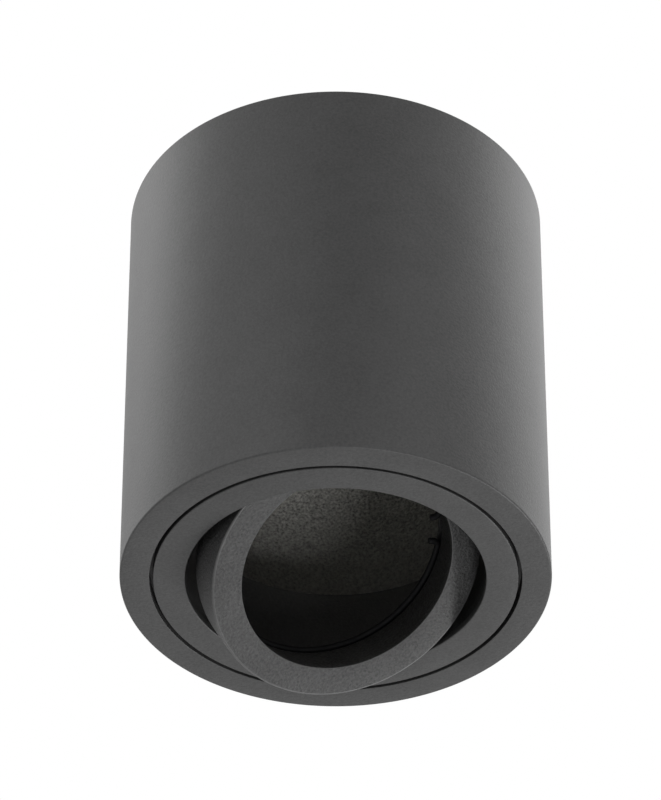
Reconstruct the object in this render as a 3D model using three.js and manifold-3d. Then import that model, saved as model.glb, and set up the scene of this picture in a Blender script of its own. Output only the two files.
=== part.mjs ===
// Surface mounted ceiling spotlight: a cylinder that hangs under the ceiling, with a trim ring let into
// its lower end. A ball-shaped ring in the trim ring holds one lamp and tilts to aim it.
// Millimetres, +Z up. The origin is the centre of the face that meets the ceiling.

import * as THREE from 'three';
import { mergeVertices } from 'three/addons/utils/BufferGeometryUtils.js';
import Module from 'manifold-3d';

const wasm = await Module();
wasm.setup();

// Clearances
const touchGap = 0.3;
const cutOverrun = 1;

// Housing. Its diameter follows from the lamp seat outwards, by way of the tilt ring and the trim ring
const bodyHeight = 97;
const bodyWall = 3;
const ceilingWall = 3;
const rimWidth = 6.35;
const bodyEdgeChamfer = 0.4;
const rimBoreHeight = 9;
const rimRampHeight = 3;
const innerCornerRadius = 2;

// Aim at rest
const tiltAtRest = 31;
const turnAtRest = 43.4;

// Tilt ring, a zone of a ball with its centre on the pivot axis
const lampSeatDiameter = 51;
const seatWall = 5.3;
const ringFrontOffset = 7.2;
const ringDepth = 13.5;
const frontLipWidth = 2.1;
const frontLipThickness = 1.4;
const ringEdgeChamfer = 0.35;
const ringSetback = 0.2;

// Lamp clip, a spring wire ring in a groove behind the lamp's rim
const clipWireDiameter = 1.4;
const clipSeatDepth = 11.8;
const clipGrooveReach = 0.9;
const clipEarLength = 1.8;
const clipGapAngle = 20;
const clipGapDirection = -36;

// Trim ring
const trimFlangeWidth = 7.05;
const trimFlangeThickness = 2.3;
const collarWall = 2;
const collarHeight = 20.9;
const ballClearance = 1.7;
const openingLip = 1.2;
const openingLipHeight = 1.4;
const trimEdgeChamfer = 0.3;

// Pivot screws and their friction washers
const pivotShankDiameter = 3;
const pivotHeadDiameter = 5;
const pivotHeadThickness = 1;
const pivotThreadLength = 3.5;
const pivotSlotWidth = 0.8;
const pivotSlotDepth = 0.5;
const frictionWasherDiameter = 5.6;

// Leaf springs that hold the trim ring in the rim bore
const springCount = 3;
const springSpace = 2.5;
const springWidth = 8;
const springThickness = 0.4;
const springTopInset = 1.2;
const springFootLength = 6;
const springCrestHeight = 7.6;
const springTipHeight = 3.4;
const springTipLift = 0.5;
const rivetShankDiameter = 2.2;
const rivetHeadDiameter = 4;
const rivetHeadHeight = 0.9;

// Openings in the ceiling wall, set in from the housing's inside
const ceilingSlotInset = 13;
const ceilingSlotWidth = 5.2;
const ceilingSlotLength = 10;
const cableEntryInset = 17;
const cableHoleDiameter = 13;
const cableBoreDiameter = 8;
const grommetFlangeDiameter = 17;
const grommetFlangeThickness = 1.2;
const grommetInnerThickness = 1.6;

// Terminal block under the ceiling wall, its screws facing down
const poleCount = 3;
const polePitch = 11;
const blockEndWall = 0.5;
const blockWidth = 17;
const blockHeight = 13;
const blockOffset = -8;
const blockCornerRadius = 1.2;
const blockNotchWidth = 1.2;
const blockNotchDepth = 3.6;
const barrelDiameter = 5.2;
const barrelLength = 14;
const barrelAxisDepth = 5.5;
const terminalScrewSpacing = 8;
const terminalScrewDiameter = 1.9;
const terminalScrewHeadDiameter = 3.4;
const terminalScrewHeadHeight = 1.3;
const terminalScrewSink = 0.8;
const terminalSlotWidth = 0.6;
const terminalSlotDepth = 0.6;
const blockBossHeight = 2.5;
const blockBossDiameter = 6.4;
const fixingScrewDiameter = 2.6;
const fixingScrewHeadDiameter = 5.2;
const fixingScrewHeadHeight = 1.8;
const fixingScrewSink = 3.4;
const fixingSlotWidth = 0.8;
const fixingSlotDepth = 0.9;
const bossHoleIntoWall = 1.5;

// Earth point
const earthTurn = 45;
const earthBossDiameter = 9;
const earthBossHeight = 4;
const earthScrewDiameter = 3.7;
const earthScrewHeadDiameter = 7.4;
const earthScrewHeadHeight = 2.4;
const earthWasherDiameter = 7.6;
const earthWasherThickness = 0.8;
const earthToothCount = 12;
const earthToothDepth = 0.7;
const lugRingDiameter = 8.2;
const lugThickness = 0.8;
const lugNeckLength = 7.5;
const lugCrimpLength = 5;
const lugCrimpDiameter = 4;

// Lampholder, hanging on its leads over the tilt ring
const holderDrop = 50;
const holderLength = 30;
const holderWidth = 18;
const holderCornerRadius = 6;
const holderBaseHeight = 14;
const holderCoverHeight = 6;
const pinSpacing = 10;
const pinEntryDiameter = 6.2;
const pinTrackWidth = 3.4;
const pinTrackAngle = 32;
const holderFrontWall = 4;
const pocketLength = 8.2;
const pocketWidth = 11;
const pocketWeb = 2.4;
const contactThickness = 0.5;
const contactWidth = 5;
const contactTopInset = 1.4;
const contactFootHeight = 5.4;
const contactReach = 6.2;
const holderScrewSpacing = 24.6;
const holderScrewDiameter = 2.6;
const holderScrewHeadDiameter = 4.4;
const holderScrewHeadHeight = 1.6;
const holderScrewBite = 8;
const leadCollarDiameter = 5;
const leadCollarHeight = 2;
const leadExitSpacing = 11;

// Leads
const leadDiameter = 2.2;
const leadStraight = 3;
const leadBend = 4.5;
const leadPlugIn = 2.5;

// Facet counts
const ringSegments = 72;
const smallSegments = 18;
const tinySegments = 12;
const ballSteps = 6;
const cornerSteps = 3;
const domeSteps = 2;
const springSteps = 12;
const leadSides = 8;
const lampLeadSteps = 27;
const earthLeadSteps = 12;
const clipSides = 6;
const clipSteps = 54;

// Sizes that follow from the fits
const seatRadius = lampSeatDiameter / 2;
const lightHoleRadius = seatRadius - frontLipWidth;
const ballRadius = seatRadius + seatWall;
const collarInnerRadius = ballRadius + ballClearance;
const collarOuterRadius = collarInnerRadius + collarWall;
const openingRadius = collarInnerRadius - openingLip;
const flangeRadius = openingRadius + trimFlangeWidth;
const recessRadius = flangeRadius + touchGap;
const recessDepth = trimFlangeThickness + touchGap;
const rimBoreRadius = collarOuterRadius + springSpace;
const bodyRadius = recessRadius + rimWidth;
const bodyInnerRadius = bodyRadius - bodyWall;
const ceilingSlotOffset = bodyInnerRadius - ceilingSlotInset;
const cableEntryOffset = bodyInnerRadius - cableEntryInset;
const pivotHeight = ringFrontOffset + ringSetback;
const leadBoreRadius = leadDiameter / 2 + touchGap;
const blockLength = poleCount * polePitch + 2 * blockEndWall;
const blockFace = blockOffset - blockWidth / 2;
const barrelHeight = -ceilingWall - blockBossHeight - touchGap - barrelAxisDepth;
const lugMouthReach = lugNeckLength - lugThickness + lugCrimpLength;
const lugTop = -ceilingWall - earthBossHeight - 2 * touchGap - earthWasherThickness;

// Materials
function finish(color, roughness, metalness) {
  return new THREE.MeshStandardMaterial({ color, roughness, metalness });
}

const powderBlack = () => finish(0x3c3c3d, 0.62, 0.1);
const springSteel = () => finish(0x9a9c9f, 0.35, 0.9);
const zincSteel = () => finish(0xb4b6b8, 0.4, 0.9);
const brass = () => finish(0xb89a55, 0.35, 0.9);
const ceramic = () => finish(0xe8e4da, 0.55, 0);
const polyamide = () => finish(0xe6e3dc, 0.5, 0);
const rubber = () => finish(0x1c1c1d, 0.8, 0);
const fibre = () => finish(0x4a4540, 0.6, 0);

// Solid operations
const weldDistance = 1e-5;

function toSolid(geometry) {
  const plain = geometry.clone();
  plain.deleteAttribute('normal');
  plain.deleteAttribute('uv');
  const welded = mergeVertices(plain, weldDistance);
  const corners = welded.index.array;
  const kept = [];
  for (let i = 0; i < corners.length; i += 3) {
    const [a, b, c] = [corners[i], corners[i + 1], corners[i + 2]];
    if (a !== b && b !== c && c !== a) {
      kept.push(a, b, c);
    }
  }
  const vertProperties = new Float32Array(welded.attributes.position.array);
  const triVerts = new Uint32Array(kept);
  return new wasm.Manifold(new wasm.Mesh({ numProp: 3, vertProperties, triVerts }));
}

function toGeometry(solid) {
  const { vertProperties, triVerts } = solid.getMesh();
  const geometry = new THREE.BufferGeometry();
  geometry.setAttribute('position', new THREE.BufferAttribute(new Float32Array(vertProperties), 3));
  geometry.setIndex(new THREE.BufferAttribute(new Uint32Array(triVerts), 1));
  geometry.computeVertexNormals();
  return geometry;
}

function cut(geometry, tools) {
  return toGeometry(tools.reduce((solid, tool) => solid.subtract(toSolid(tool)), toSolid(geometry)));
}

function join(geometries) {
  const [first, ...others] = geometries.map(toSolid);
  return toGeometry(others.reduce((solid, other) => solid.add(other), first));
}

// A solid of revolution about Z from [radius, height] points; the outline closes on itself or on the axis
function revolve(outline, segments) {
  const area = outline.reduce((sum, [r, z], i) => {
    const [nextR, nextZ] = outline[(i + 1) % outline.length];
    return sum + r * nextZ - nextR * z;
  }, 0);
  const ordered = area > 0 ? [...outline] : [...outline].reverse();
  const onAxis = outline[0][0] === 0 && outline[outline.length - 1][0] === 0;
  if (onAxis) {
    while (ordered[0][0] !== 0 || ordered[ordered.length - 1][0] !== 0) {
      ordered.push(ordered.shift());
    }
  } else {
    ordered.push(ordered[0]);
  }
  const points = ordered.map(([r, z]) => new THREE.Vector2(r, z));
  return new THREE.LatheGeometry(points, segments).rotateX(Math.PI / 2);
}

// Points on an arc in the radius-height plane, angles in degrees from the outward direction
function arc(centreR, centreZ, radius, fromAngle, toAngle, steps) {
  return Array.from({ length: steps + 1 }, (_, i) => {
    const angle = THREE.MathUtils.degToRad(fromAngle + (toAngle - fromAngle) * (i / steps));
    return [centreR + radius * Math.cos(angle), centreZ + radius * Math.sin(angle)];
  });
}

// A rod along Z that starts at height z
function rod(radius, length, z, segments = smallSegments) {
  return new THREE.CylinderGeometry(radius, radius, length, segments).rotateX(Math.PI / 2)
    .translate(0, 0, z + length / 2);
}

function block(width, depth, height, x, y, z) {
  return new THREE.BoxGeometry(width, depth, height).translate(x, y, z + height / 2);
}

function roundedOutline(length, width, radius, steps) {
  const x = length / 2 - radius;
  const y = width / 2 - radius;
  const corners = [[x, y], [-x, y], [-x, -y], [x, -y]];
  return shapeOf(corners.flatMap(([cornerX, cornerY], i) => (
    arc(cornerX, cornerY, radius, 90 * i, 90 * (i + 1), steps)
  )));
}

function shapeOf(points) {
  return new THREE.Shape(points.map(([x, y]) => new THREE.Vector2(x, y)));
}

function extrude(shape, height, z, curveSegments = smallSegments) {
  return new THREE.ExtrudeGeometry(shape, { depth: height, bevelEnabled: false, curveSegments })
    .translate(0, 0, z);
}

// A rod along a curve
function wire(path, diameter, sides, steps) {
  const section = shapeOf(arc(0, 0, diameter / 2, 0, 360, sides).slice(1));
  return new THREE.ExtrudeGeometry(section, { steps, extrudePath: path, bevelEnabled: false });
}

function part(group, name, geometry, material) {
  const mesh = new THREE.Mesh(geometry, material);
  mesh.name = name;
  group.add(mesh);
  return mesh;
}

// A slotted cheese-head screw with its head's underside at zero and its shank along +Z
function slottedScrew(shankDiameter, headDiameter, headHeight, shankLength, slotWidth, slotDepth) {
  const [shank, head] = [shankDiameter / 2, headDiameter / 2];
  const edge = slotDepth / 2;
  const body = revolve([
    [0, -headHeight], [head - edge, -headHeight], [head, -headHeight + edge], [head, 0],
    [shank, 0], [shank, shankLength], [0, shankLength],
  ], tinySegments);
  const slotLength = headDiameter + cutOverrun;
  const slot = block(slotLength, slotWidth, slotDepth + cutOverrun, 0, 0, -headHeight - cutOverrun);
  return cut(body, [slot]);
}

// Housing: cup with a thick lower rim, whose recess takes the trim flange and whose bore the springs grip
function housingShell() {
  const floor = -bodyHeight;
  const boreStart = floor + recessDepth;
  const rampStart = boreStart + rimBoreHeight;
  const ceiling = -ceilingWall;
  const fillet = innerCornerRadius;
  const cup = revolve([
    [0, 0],
    [0, ceiling],
    ...arc(bodyInnerRadius - fillet, ceiling - fillet, fillet, 90, 0, cornerSteps),
    [bodyInnerRadius, rampStart + rimRampHeight],
    [rimBoreRadius, rampStart],
    [rimBoreRadius, boreStart],
    [recessRadius, boreStart],
    [recessRadius, floor],
    [bodyRadius - bodyEdgeChamfer, floor],
    [bodyRadius, floor + bodyEdgeChamfer],
    [bodyRadius, -bodyEdgeChamfer],
    [bodyRadius - bodyEdgeChamfer, 0],
  ].reverse(), ringSegments);
  const boss = (diameter, height, x, y) => (
    rod(diameter / 2, height + ceilingWall / 2, ceiling - height).translate(x, y, 0)
  );
  const tapping = (diameter, height, x, y) => {
    const depth = height + bossHoleIntoWall + cutOverrun;
    const start = ceiling - height - cutOverrun;
    return rod(diameter / 2 + touchGap, depth, start, tinySegments).translate(x, y, 0);
  };
  const bosses = [
    ...fixingPlaces().map((x) => boss(blockBossDiameter, blockBossHeight, x, blockOffset)),
    boss(earthBossDiameter, earthBossHeight, ...earthPlace()),
  ];
  const slotEnd = ceilingSlotWidth / 2;
  const slotShape = roundedOutline(ceilingSlotWidth, ceilingSlotLength, slotEnd, cornerSteps + 1);
  const wallCut = ceilingWall + 2 * cutOverrun;
  const holes = [
    ...fixingPlaces().map((x) => tapping(fixingScrewDiameter, blockBossHeight, x, blockOffset)),
    tapping(earthScrewDiameter, earthBossHeight, ...earthPlace()),
    ...[-1, 1].map((side) => extrude(slotShape, wallCut, ceiling - cutOverrun)
      .translate(side * ceilingSlotOffset, 0, 0)),
    rod(cableHoleDiameter / 2, wallCut, ceiling - cutOverrun).translate(0, cableEntryOffset, 0),
    rod(grommetFlangeDiameter / 2 + touchGap, grommetFlangeThickness + touchGap + cutOverrun,
      -grommetFlangeThickness - 2 * touchGap).translate(0, cableEntryOffset, 0),
  ];
  return cut(join([cup, ...bosses]), holes);
}

// Rubber grommet, snapped into the ceiling wall, its upper flange sunk below the ceiling face
function cableGrommet() {
  const bore = cableBoreDiameter / 2;
  const flange = grommetFlangeDiameter / 2;
  const neck = cableHoleDiameter / 2 - touchGap;
  const top = -touchGap;
  const upperSeat = top - grommetFlangeThickness + touchGap;
  const lowerSeat = -ceilingWall - touchGap;
  const bottom = lowerSeat - grommetInnerThickness;
  return revolve([
    [bore, bottom], [flange - grommetInnerThickness / 2, bottom], [flange, lowerSeat], [neck, lowerSeat],
    [neck, upperSeat], [flange, upperSeat], [flange, top], [bore, top],
  ], smallSegments).translate(0, cableEntryOffset, 0);
}

// Terminal block. Its own origin is the middle of its upper face, poles along X, wires along Y
function polePlaces() {
  return Array.from({ length: poleCount }, (_, i) => (i - (poleCount - 1) / 2) * polePitch);
}

function fixingPlaces() {
  return polePlaces().slice(1).map((x) => x - polePitch / 2);
}

function alongY(geometry) {
  return geometry.rotateX(Math.PI / 2);
}

function terminalBlock() {
  const outline = roundedOutline(blockLength, blockWidth, blockCornerRadius, cornerSteps);
  const body = extrude(outline, blockHeight, -blockHeight);
  const boreRadius = barrelDiameter / 2 + touchGap;
  const wellRadius = terminalScrewHeadDiameter / 2 + touchGap;
  const wellDepth = blockHeight - barrelAxisDepth;
  const through = blockHeight + 2 * cutOverrun;
  const start = -blockHeight - cutOverrun;
  const tools = [];
  for (const x of polePlaces()) {
    const bore = rod(boreRadius, blockWidth + 2 * cutOverrun, -blockWidth / 2 - cutOverrun, tinySegments);
    tools.push(alongY(bore).translate(x, 0, -barrelAxisDepth));
    for (const side of [-1, 1]) {
      tools.push(rod(wellRadius, wellDepth + cutOverrun, start, tinySegments)
        .translate(x, side * terminalScrewSpacing / 2, 0));
    }
  }
  for (const x of fixingPlaces()) {
    tools.push(rod(fixingScrewDiameter / 2 + touchGap, through, start, tinySegments).translate(x, 0, 0));
    tools.push(rod(fixingScrewHeadDiameter / 2 + touchGap, fixingScrewSink + cutOverrun, start, tinySegments)
      .translate(x, 0, 0));
    for (const side of [-1, 1]) {
      const notchY = side * (blockWidth / 2 - blockNotchDepth / 2 + cutOverrun / 2);
      tools.push(block(blockNotchWidth, blockNotchDepth + cutOverrun, through, x, notchY, start));
    }
  }
  return cut(body, tools);
}

function terminalBarrel() {
  const radius = barrelDiameter / 2;
  const tube = revolve([
    [leadBoreRadius, 0], [radius, 0], [radius, barrelLength], [leadBoreRadius, barrelLength],
  ], tinySegments).translate(0, 0, -barrelLength / 2);
  const threads = [-1, 1].map((side) => rod(
    terminalScrewDiameter / 2 + touchGap, barrelDiameter, -barrelDiameter, tinySegments,
  ).translate(0, side * terminalScrewSpacing / 2, 0));
  return cut(alongY(tube), threads);
}

function terminalScrew() {
  const shankLength = blockHeight - terminalScrewSink - terminalScrewHeadHeight - barrelAxisDepth - touchGap;
  return slottedScrew(terminalScrewDiameter, terminalScrewHeadDiameter, terminalScrewHeadHeight, shankLength,
    terminalSlotWidth, terminalSlotDepth);
}

function fixingScrew() {
  const shankLength = blockHeight - fixingScrewSink + blockBossHeight + bossHoleIntoWall;
  return slottedScrew(fixingScrewDiameter, fixingScrewHeadDiameter, fixingScrewHeadHeight, shankLength,
    fixingSlotWidth, fixingSlotDepth);
}

// Earth point: washer, ring lug and screw stacked under the boss. Its place follows from the bend of its
// lead, which leaves the last pole along -Y and turns back to the lug's crimp
const earthDirection = THREE.MathUtils.degToRad(earthTurn);

function earthBendPoint(angle) {
  const centreX = polePlaces()[poleCount - 1] + leadBend;
  return [centreX + leadBend * Math.cos(angle), blockFace - leadStraight + leadBend * Math.sin(angle)];
}

function fromEarthBend(distance) {
  const [x, y] = earthBendPoint(earthDirection - Math.PI / 2);
  return [x + distance * Math.cos(earthDirection), y + distance * Math.sin(earthDirection)];
}

function earthPlace() {
  return fromEarthBend(leadStraight + lugMouthReach);
}

function earthWasher() {
  const hole = earthScrewDiameter / 2 + touchGap;
  const teeth = Array.from({ length: 2 * earthToothCount }, (_, i) => {
    const radius = earthWasherDiameter / 2 - (i % 2) * earthToothDepth;
    const angle = (Math.PI * i) / earthToothCount;
    return new THREE.Vector2(radius * Math.cos(angle), radius * Math.sin(angle));
  });
  const shape = new THREE.Shape(teeth);
  shape.holes.push(new THREE.Path().absarc(0, 0, hole, 0, 2 * Math.PI, true));
  return extrude(shape, earthWasherThickness, 0, tinySegments);
}

function earthLug() {
  const ring = rod(lugRingDiameter / 2, lugThickness, 0);
  const neck = block(lugNeckLength, lugCrimpDiameter, lugThickness, -lugNeckLength / 2, 0, 0);
  const crimp = rod(lugCrimpDiameter / 2, lugCrimpLength, 0, tinySegments).rotateY(-Math.PI / 2)
    .translate(-lugNeckLength + lugThickness, 0, lugThickness - lugCrimpDiameter / 2);
  const hole = rod(earthScrewDiameter / 2 + touchGap, lugThickness + 2 * cutOverrun, -cutOverrun);
  const wireBore = rod(leadBoreRadius, lugCrimpLength + cutOverrun, 0, tinySegments).rotateY(-Math.PI / 2)
    .translate(-lugNeckLength + lugThickness - cutOverrun, 0, lugThickness - lugCrimpDiameter / 2);
  return cut(join([ring, neck, crimp]), [hole, wireBore]);
}

// Lampholder. Its own origin is the middle of its lower face, pins along X
const holderOutline = () => roundedOutline(holderLength, holderWidth, holderCornerRadius, 2 * cornerSteps);
const pinRadius = pinSpacing / 2;

// The slot that a pin enters and turns in: a round entry and an arc-shaped track
function pinSlot(side) {
  const start = side > 0 ? 0 : 180;
  const track = [
    ...arc(0, 0, pinRadius + pinTrackWidth / 2, start, start + pinTrackAngle, 2 * cornerSteps),
    ...arc(0, 0, pinRadius - pinTrackWidth / 2, start + pinTrackAngle, start, 2 * cornerSteps),
  ];
  const height = holderFrontWall + 2 * cutOverrun;
  return [
    extrude(shapeOf(track), height, -cutOverrun),
    rod(pinEntryDiameter / 2, height, -cutOverrun).translate(side * pinRadius, 0, 0),
  ];
}

function pocketPlace(side) {
  return side * (pocketWeb / 2 + pocketLength / 2);
}

function lampholderBase() {
  const body = extrude(holderOutline(), holderBaseHeight, 0);
  const pocketHeight = holderBaseHeight - holderFrontWall + cutOverrun;
  const screwDepth = holderScrewBite + touchGap;
  const tools = [];
  for (const side of [-1, 1]) {
    tools.push(...pinSlot(side));
    tools.push(block(pocketLength, pocketWidth, pocketHeight, pocketPlace(side), 0, holderFrontWall));
    tools.push(rod(holderScrewDiameter / 2 + touchGap, screwDepth + cutOverrun, holderBaseHeight - screwDepth,
      tinySegments).translate(side * holderScrewSpacing / 2, 0, 0));
  }
  return cut(body, tools);
}

function lampholderCover() {
  const body = extrude(holderOutline(), holderCoverHeight, 0);
  const sides = [-1, 1];
  const collars = sides.map((side) => rod(leadCollarDiameter / 2, holderCoverHeight / 2 + leadCollarHeight,
    holderCoverHeight / 2).translate(side * leadExitSpacing / 2, 0, 0));
  const height = holderCoverHeight + leadCollarHeight + 2 * cutOverrun;
  const tools = sides.flatMap((side) => [
    rod(leadBoreRadius, height, -cutOverrun, tinySegments).translate(side * leadExitSpacing / 2, 0, 0),
    rod(holderScrewDiameter / 2 + touchGap, height, -cutOverrun, tinySegments)
      .translate(side * holderScrewSpacing / 2, 0, 0),
  ]);
  return cut(join([body, ...collars]), tools);
}

// A folded contact strip: a leaf along the pocket's outer wall and a tab under the lead
function lampholderContact(side) {
  const outer = pocketWeb / 2 + pocketLength - touchGap;
  const top = holderBaseHeight - contactTopInset;
  const outline = [
    [outer - contactThickness, contactFootHeight], [outer, contactFootHeight], [outer, top],
    [outer - contactReach, top], [outer - contactReach, top - contactThickness],
    [outer - contactThickness, top - contactThickness],
  ];
  const strip = extrude(shapeOf(outline), contactWidth, -contactWidth / 2).rotateX(Math.PI / 2);
  return side > 0 ? strip : strip.rotateZ(Math.PI);
}

function lampholderScrew() {
  const shankLength = holderCoverHeight + touchGap + holderScrewBite;
  return slottedScrew(holderScrewDiameter, holderScrewHeadDiameter, holderScrewHeadHeight, shankLength,
    fixingSlotWidth, fixingSlotDepth).rotateX(Math.PI);
}

// Trim ring. Its own origin is the pivot centre, pivot axis along X
function trimRing() {
  const face = -pivotHeight;
  const body = revolve([
    [openingRadius + trimEdgeChamfer, face],
    [flangeRadius - trimEdgeChamfer, face],
    [flangeRadius, face + trimEdgeChamfer],
    [flangeRadius, face + trimFlangeThickness],
    [collarOuterRadius, face + trimFlangeThickness],
    [collarOuterRadius, face + collarHeight - trimEdgeChamfer],
    [collarOuterRadius - trimEdgeChamfer, face + collarHeight],
    [collarInnerRadius, face + collarHeight],
    [collarInnerRadius, face + openingLipHeight + openingLip],
    [openingRadius, face + openingLipHeight],
    [openingRadius, face + trimEdgeChamfer],
  ], ringSegments);
  const wallCut = collarWall + 2 * cutOverrun;
  const throughCollar = (diameter, angle) => (
    rod(diameter / 2 + touchGap, wallCut, collarInnerRadius - cutOverrun).rotateY(Math.PI / 2).rotateZ(angle)
  );
  return cut(body, [
    ...[0, Math.PI].map((angle) => throughCollar(pivotShankDiameter, angle)),
    ...springAngles().map((angle) => throughCollar(rivetShankDiameter, angle).translate(0, 0, rivetPlace())),
  ]);
}

function springAngles() {
  return Array.from({ length: springCount }, (_, i) => Math.PI / 2 + (2 * Math.PI * i) / springCount);
}

const springFootRadius = collarOuterRadius + touchGap;
const springTop = collarHeight - springTopInset - pivotHeight;
const rivetPlace = () => springTop - springFootLength / 2;

// A bowed strip: riveted at its foot, bearing on the rim bore at its crest, its tip near the flange
function retainingSpring() {
  const half = springThickness / 2;
  const foot = springFootRadius + half;
  const crest = Math.sqrt((rimBoreRadius - touchGap) ** 2 - (springWidth / 2) ** 2) - half;
  const spine = new THREE.SplineCurve([
    new THREE.Vector2(foot, springTop),
    new THREE.Vector2(foot, springTop - springFootLength / 2),
    new THREE.Vector2(foot, springTop - springFootLength),
    new THREE.Vector2(crest, springCrestHeight - pivotHeight),
    new THREE.Vector2(foot + springTipLift, springTipHeight - pivotHeight),
  ]);
  const side = (offset) => Array.from({ length: springSteps + 1 }, (_, i) => {
    const share = i / springSteps;
    const point = spine.getPoint(share);
    const along = spine.getTangent(share);
    const limit = Math.max(springFootRadius, point.x - along.y * offset);
    return new THREE.Vector2(limit, point.y + along.x * offset);
  });
  const shape = new THREE.Shape([...side(half), ...side(-half).reverse()]);
  const strip = extrude(shape, springWidth, -springWidth / 2).rotateX(Math.PI / 2);
  const hole = rod(rivetShankDiameter / 2 + touchGap, springSpace, collarOuterRadius).rotateY(Math.PI / 2)
    .translate(0, 0, rivetPlace());
  return cut(strip, [hole]);
}

// A domed rivet along X, its head outside the spring and its shank flush in the collar
function springRivet() {
  const headSeat = springFootRadius + springThickness + touchGap;
  const [shank, head] = [rivetShankDiameter / 2, rivetHeadDiameter / 2];
  const domeShares = arc(0, 0, 1, 0, 90, domeSteps).slice(0, -1);
  const dome = domeShares.map(([across, up]) => [head * across, headSeat + rivetHeadHeight * up]);
  return revolve([
    [0, collarInnerRadius + touchGap], [shank, collarInnerRadius + touchGap], [shank, headSeat],
    ...dome, [0, headSeat + rivetHeadHeight],
  ], tinySegments).rotateY(Math.PI / 2).translate(0, 0, rivetPlace());
}

// A washer along X between the ball and the collar, whose wall curves in towards its rim
function frictionWasher() {
  const bore = pivotShankDiameter / 2 + touchGap;
  const rim = frictionWasherDiameter / 2;
  const inside = ballRadius + touchGap;
  const outside = Math.sqrt(collarInnerRadius ** 2 - rim ** 2) - touchGap;
  return revolve([[bore, inside], [rim, inside], [rim, outside], [bore, outside]], smallSegments)
    .rotateY(Math.PI / 2);
}

// Tilt ring. Its own origin is the pivot centre, front face down
function tiltRing() {
  const front = -ringFrontOffset;
  const back = front + ringDepth;
  const groove = seatRadius + clipGrooveReach;
  const grooveHalf = clipWireDiameter / 2 + touchGap;
  const clipPlace = front + clipSeatDepth;
  const latitude = (z) => THREE.MathUtils.radToDeg(Math.asin(z / ballRadius));
  const faceEdge = Math.sqrt(ballRadius ** 2 - front ** 2);
  const body = revolve([
    [lightHoleRadius + ringEdgeChamfer, front],
    [faceEdge - ringEdgeChamfer, front],
    ...arc(0, 0, ballRadius, latitude(front + ringEdgeChamfer), latitude(back), ballSteps),
    [seatRadius + ringEdgeChamfer, back],
    [seatRadius, back - ringEdgeChamfer],
    [seatRadius, clipPlace + grooveHalf],
    [groove, clipPlace + grooveHalf],
    [groove, clipPlace - grooveHalf],
    [seatRadius, clipPlace - grooveHalf],
    [seatRadius, front + frontLipThickness],
    [lightHoleRadius, front + frontLipThickness],
    [lightHoleRadius, front + ringEdgeChamfer],
  ], ringSegments);
  const depth = pivotThreadLength + touchGap;
  const pivotHole = (angle) => rod(pivotShankDiameter / 2 + touchGap, depth + cutOverrun, ballRadius - depth)
    .rotateY(Math.PI / 2).rotateZ(angle);
  return cut(body, [0, Math.PI].map(pivotHole));
}

function pivotScrew() {
  const headSeat = collarOuterRadius + touchGap;
  const shankLength = headSeat - ballRadius + pivotThreadLength;
  return slottedScrew(pivotShankDiameter, pivotHeadDiameter, pivotHeadThickness, shankLength, pivotSlotWidth,
    pivotSlotDepth).rotateY(-Math.PI / 2).translate(headSeat, 0, 0);
}

// The clip: most of a circle with both ends bent in as ears for pliers
class ClipCurve extends THREE.Curve {
  getPoint(share, target = new THREE.Vector3()) {
    const radius = seatRadius + clipGrooveReach - touchGap - clipWireDiameter / 2;
    const bend = clipWireDiameter;
    const quarter = (Math.PI / 2) * bend;
    const sweep = 2 * Math.PI - THREE.MathUtils.degToRad(clipGapAngle);
    const sideLength = clipEarLength + quarter;
    const total = sweep * radius + 2 * sideLength;
    const fromStart = share * total;
    const mirrored = fromStart > total / 2;
    const travel = mirrored ? total - fromStart : fromStart;
    let r = radius;
    let turn = (travel - sideLength) / radius;
    if (travel < clipEarLength) {
      r = radius - bend - (clipEarLength - travel);
      turn = -bend / radius;
    } else if (travel < sideLength) {
      const bent = (travel - clipEarLength) / bend;
      r = radius - bend + bend * Math.sin(bent);
      turn = (-bend * Math.cos(bent)) / radius;
    }
    const start = THREE.MathUtils.degToRad(clipGapDirection + clipGapAngle / 2);
    const angle = mirrored ? start + sweep - turn : start + turn;
    return target.set(r * Math.cos(angle), r * Math.sin(angle), 0);
  }
}

function lampClip() {
  return wire(new ClipCurve(), clipWireDiameter, clipSides, clipSteps)
    .translate(0, 0, clipSeatDepth - ringFrontOffset);
}

// Leads. A route leaves its terminal along -Y, runs round the inside of the housing and drops into
// the lampholder cover. The middle of the route: [turn in degrees from -Y, radius share, drop share]
const leadRouteShares = [
  [26, 0.7, 0.3],
  [48, 0.82, 0.42],
  [80, 0.84, 0.54],
  [112, 0.83, 0.62],
  [142, 0.76, 0.66],
  [162, 0.62, 0.6],
];

function leadAlong(points, steps) {
  return wire(new THREE.CatmullRomCurve3(points, false, 'centripetal'), leadDiameter, leadSides, steps);
}

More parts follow.
